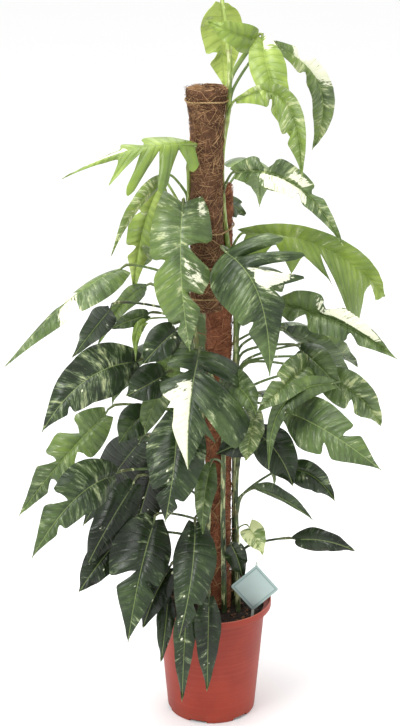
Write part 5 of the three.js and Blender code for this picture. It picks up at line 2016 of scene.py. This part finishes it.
STEM_LOW_RIGHT = Stem(
    "stem_low_right",
    (5, 3.5),
    (
        mm(53, -19, 190), mm(52, -20, 330), mm(48, -22, 470), mm(52, -26, 560),
    ),
    (
        Leaf(
            "right_dark", at(256, 432, -40), at(278, 454, -85), at(293, 486, -105), width=(44, 42),
            opening=(5, 10), drop=30, tone=0.12, marble=0.1,
        ),
        Leaf(
            "right_folded", at(290, 470, -42), at(314, 477, -60), at(335, 501, -50),
            width=(32, 28), opening=(20, 50), drop=100, tone=0.26, marble=0.2,
        ),
        Leaf(
            "right_narrow", at(257, 490, -70), at(284, 500, -130), at(313, 520, -160),
            width=(26, 26), opening=(-50, 55), drop=60, tone=0.24, marble=0.15,
        ),
        Leaf(
            "right_low_dark", at(262, 438, -30), at(242, 443, -60), at(216, 454, -80),
            width=(36, 34), opening=(5, 5), drop=60, tone=0.1, marble=0.05,
        ),
        Leaf(
            "right_oval", at(295, 540, -56), at(325, 541, -95), at(355, 551, -105), width=(26, 25),
            opening=(5, 12), drop=70, tone=0.04, marble=0.05,
        ),
        Leaf(
            "right_heart", at(249, 528, -72), at(256, 539, -90), at(263, 555, -96), width=(22, 24),
            base_share=0.75, widest=0.2, stalk=1.6, drop=40, tone=0.66, marble=0.74,
        ),
        Leaf(
            "by_pole", at(231, 545, -50), at(238, 560, -40), at(243, 580, -26), width=(24, 22),
            stalk=1.8, drop=20, tone=0.14, marble=0.1,
        ),
    ),
)

STEM_BACK = Stem(
    "stem_back",
    (6, 4),
    (
        mm(10, 42, 190), mm(14, 40, 500), mm(12, 38, 760), mm(6, 36, 960), mm(-6, 12, 1060),
    ),
    (
        Leaf(
            "back_top", mm(58, 104, 1096), mm(84, 196, 1082), mm(98, 280, 975), face=Facing.UP_RIGHT,
            width=(54, 54), opening=(8, 8), cuts=(Cut(0, 0.5, 0.7, 0.08), Cut(1, 0.35, 0.6, 0.08)),
            drop=100, tone=0.55, marble=0.35,
        ),
        Leaf(
            "back_upper_left", mm(-54, 96, 985), mm(-104, 170, 960), mm(-150, 232, 840),
            face=Facing.UP_LEFT, width=(58, 56), opening=(8, 8),
            cuts=(Cut(0, 0.4, 0.6, 0.08), Cut(1, 0.6, 0.7, 0.08)), drop=100, tone=0.48, marble=0.4,
        ),
        Leaf(
            "back_upper_right", mm(66, 116, 880), mm(96, 200, 846), mm(112, 246, 700),
            face=Facing.UP_BACK, width=(62, 60), opening=(10, 10),
            cuts=(Cut(0, 0.6, 0.5, 0.07), Cut(1, 0.3, 0.7, 0.08)), drop=90, tone=0.42, marble=0.3,
            white=((0, 0.36, 0.5, 0.2, 1),),
        ),
        Leaf(
            "back_centre", mm(-20, 120, 800), mm(-34, 196, 756), mm(-30, 236, 600), face=Facing.UP_BACK,
            width=(58, 60), opening=(10, 10), cuts=(Cut(1, 0.45, 0.7, 0.08),), drop=90, tone=0.36,
            marble=0.3,
        ),
        Leaf(
            "side_right", mm(118, 62, 790), mm(196, 98, 770), mm(256, 146, 650), face=Facing.UP_RIGHT,
            width=(48, 46), opening=(8, 8), cuts=(Cut(0, 0.4, 0.7, 0.08),), drop=80, tone=0.45,
            marble=0.4,
        ),
        Leaf(
            "back_left", mm(-74, 96, 745), mm(-150, 158, 704), mm(-204, 196, 575), face=Facing.UP_LEFT,
            width=(58, 56), opening=(10, 10), cuts=(Cut(1, 0.5, 0.7, 0.07),), drop=90, tone=0.34,
            marble=0.25,
        ),
        Leaf(
            "back_right", mm(96, 92, 640), mm(156, 156, 600), mm(196, 196, 480), face=Facing.UP_RIGHT,
            width=(54, 52), opening=(10, 10), cuts=(Cut(0, 0.5, 0.7, 0.07),), drop=80, tone=0.3,
            marble=0.25, white=((1, 0.56, 0.7, 0.1, 0.9),),
        ),
        Leaf(
            "back_middle", mm(4, 128, 620), mm(-4, 206, 570), mm(4, 250, 430), face=Facing.UP_BACK,
            width=(56, 56), opening=(10, 10), drop=80, tone=0.22, marble=0.15,
        ),
        Leaf(
            "side_left", mm(-104, 70, 560), mm(-176, 108, 526), mm(-226, 130, 410), face=Facing.UP_LEFT,
            width=(46, 46), opening=(8, 8), drop=70, tone=0.26, marble=0.2,
        ),
        Leaf(
            "back_low_left", mm(-66, 100, 440), mm(-116, 158, 400), mm(-144, 190, 285),
            face=Facing.UP_LEFT, width=(48, 46), opening=(10, 10), drop=70, tone=0.14, marble=0.1,
        ),
        Leaf(
            "back_low_right", mm(70, 100, 540), mm(112, 158, 505), mm(132, 196, 400),
            face=Facing.UP_RIGHT, width=(46, 46), opening=(10, 10), drop=70, tone=0.14, marble=0.12,
        ),
        Leaf(
            "back_lowest", mm(6, 112, 360), mm(6, 168, 330), mm(2, 196, 230), face=Facing.UP_BACK,
            width=(38, 40), opening=(10, 10), drop=50, tone=0.08, marble=0.05,
        ),
    ),
)
STEMS = (STEM_RIGHT, STEM_LEFT, STEM_FRONT, STEM_LOW_LEFT, STEM_LOW_RIGHT, STEM_BACK)

# What the ties go round: both sleeves with their loose felt, and the stems that lie on them
LOOSE_FELT = 0.5
POLE_ROUNDS = tuple((pole.place, pole.radius + LOOSE_FELT) for pole in (UPPER_POLE, LOWER_POLE))
TOP_ROUND = (UPPER_POLE.place, 35.9)
TIED_STEMS = (STEM_RIGHT, STEM_LEFT, STEM_BACK)
TIES = (
    Tie("twine_top", 1256, (TOP_ROUND,)),
    *(
        Tie(f"twine_pair_{i + 1}", z, (*POLE_ROUNDS, *(stem.round_at(z) for stem in TIED_STEMS)))
        for i, z in enumerate((885, 945, 1010))
    ),
)


# Studio


@dataclass(frozen=True)
class Studio:
    """The pale floor, the soft lights and the sky."""

    floor_half: float = 60.0
    lights: tuple[tuple[tuple[float, float, float], float, float], ...] = (
        ((-2.6, -3.0, 3.8), 1.8, 105.0),
        ((3.2, -2.4, 2.6), 2.6, 14.0),
        ((0.6, 2.8, 3.4), 2.4, 20.0),
        ((-0.4, -0.2, 3.6), 2.4, 60.0),
    )
    aim: tuple[float, float, float] = (0.0, 0.0, 0.7)
    sky: float = 1.0
    floor_dark: tuple[float, ...] = (0.955, 0.955, 0.955, 1)
    floor_light: tuple[float, ...] = (0.97, 0.97, 0.97, 1)

    def build(self) -> None:
        """Makes the floor, the lights and the sky."""
        bm = bmesh.new()
        bmesh.ops.create_grid(bm, x_segments=4, y_segments=4, size=self.floor_half)
        mesh = bpy.data.meshes.new("floor")
        bm.to_mesh(mesh)
        bm.free()
        g = Graph("floor")
        tone = g.noise(g.place(), 1.5, 2)
        pale = g.blend(tone, self.floor_dark, self.floor_light)
        mesh.materials.append(g.finish(pale, 0.9))
        floor = bpy.data.objects.new("floor", mesh)
        bpy.context.scene.collection.objects.link(floor)
        for i, (place, size, power) in enumerate(self.lights):
            data = bpy.data.lights.new(f"light_{i}", "AREA")
            data.shape, data.size, data.energy = "DISK", size, power
            light = bpy.data.objects.new(data.name, data)
            light.location = place
            light.rotation_euler = (Vector(self.aim) - Vector(place)).to_track_quat("-Z", "Y").to_euler()
            bpy.context.scene.collection.objects.link(light)
        world = bpy.data.worlds.new("world")
        world.use_nodes = True
        background = world.node_tree.nodes["Background"]
        background.inputs["Color"].default_value = (1, 1, 1, 1)
        background.inputs["Strength"].default_value = self.sky
        bpy.context.scene.world = world
        bpy.context.scene.view_settings.view_transform = "Standard"


def build_plant() -> list[bpy.types.Object]:
    """Builds every piece of the plant.

    Returns:
        The pieces, in the order in which they are built.
    """
    draw = random.Random(SEED)
    pot = Pot()
    pieces = [
        pot.build(PotFinish().build()),
        Soil(pot).build([PEAT.build(), BARK.build()], draw),
        LOWER_POLE.build_sleeve([FELT_LOWER.build(), STRAND_LOWER.build()], draw),
        UPPER_POLE.build_sleeve([FELT_UPPER.build(), STRAND_UPPER.build()], draw),
    ]
    wood, jute = WOOD.build(), JUTE.build()
    pieces += [pole.build_core(wood) for pole in (LOWER_POLE, UPPER_POLE)]
    pieces += [tie.build(jute) for tie in TIES]
    label = Label()
    pieces += [label.build_card(CardFinish().build()), label.build_stake(STAKE_PLASTIC.build())]
    skins = [
        BladeFinish(Face.UPPER, 0.30).build(), BladeFinish(Face.UNDER, 0.55, 0.45).build(),
        StalkFinish().build(), ROOTLET.build(),
    ]
    pieces += [stem.build(skins, draw) for stem in STEMS]
    return pieces


def main() -> None:
    """Builds the studio and the plant."""
    logging.basicConfig(level=logging.INFO, format="%(name)s: %(message)s")
    VIEW.make_camera()
    Studio().build()
    pieces = build_plant()
    bpy.context.view_layer.update()
    LOG.info("%d pieces, %d faces", len(pieces), sum(len(made.data.polygons) for made in pieces))


if __name__ == "__main__":
    main()
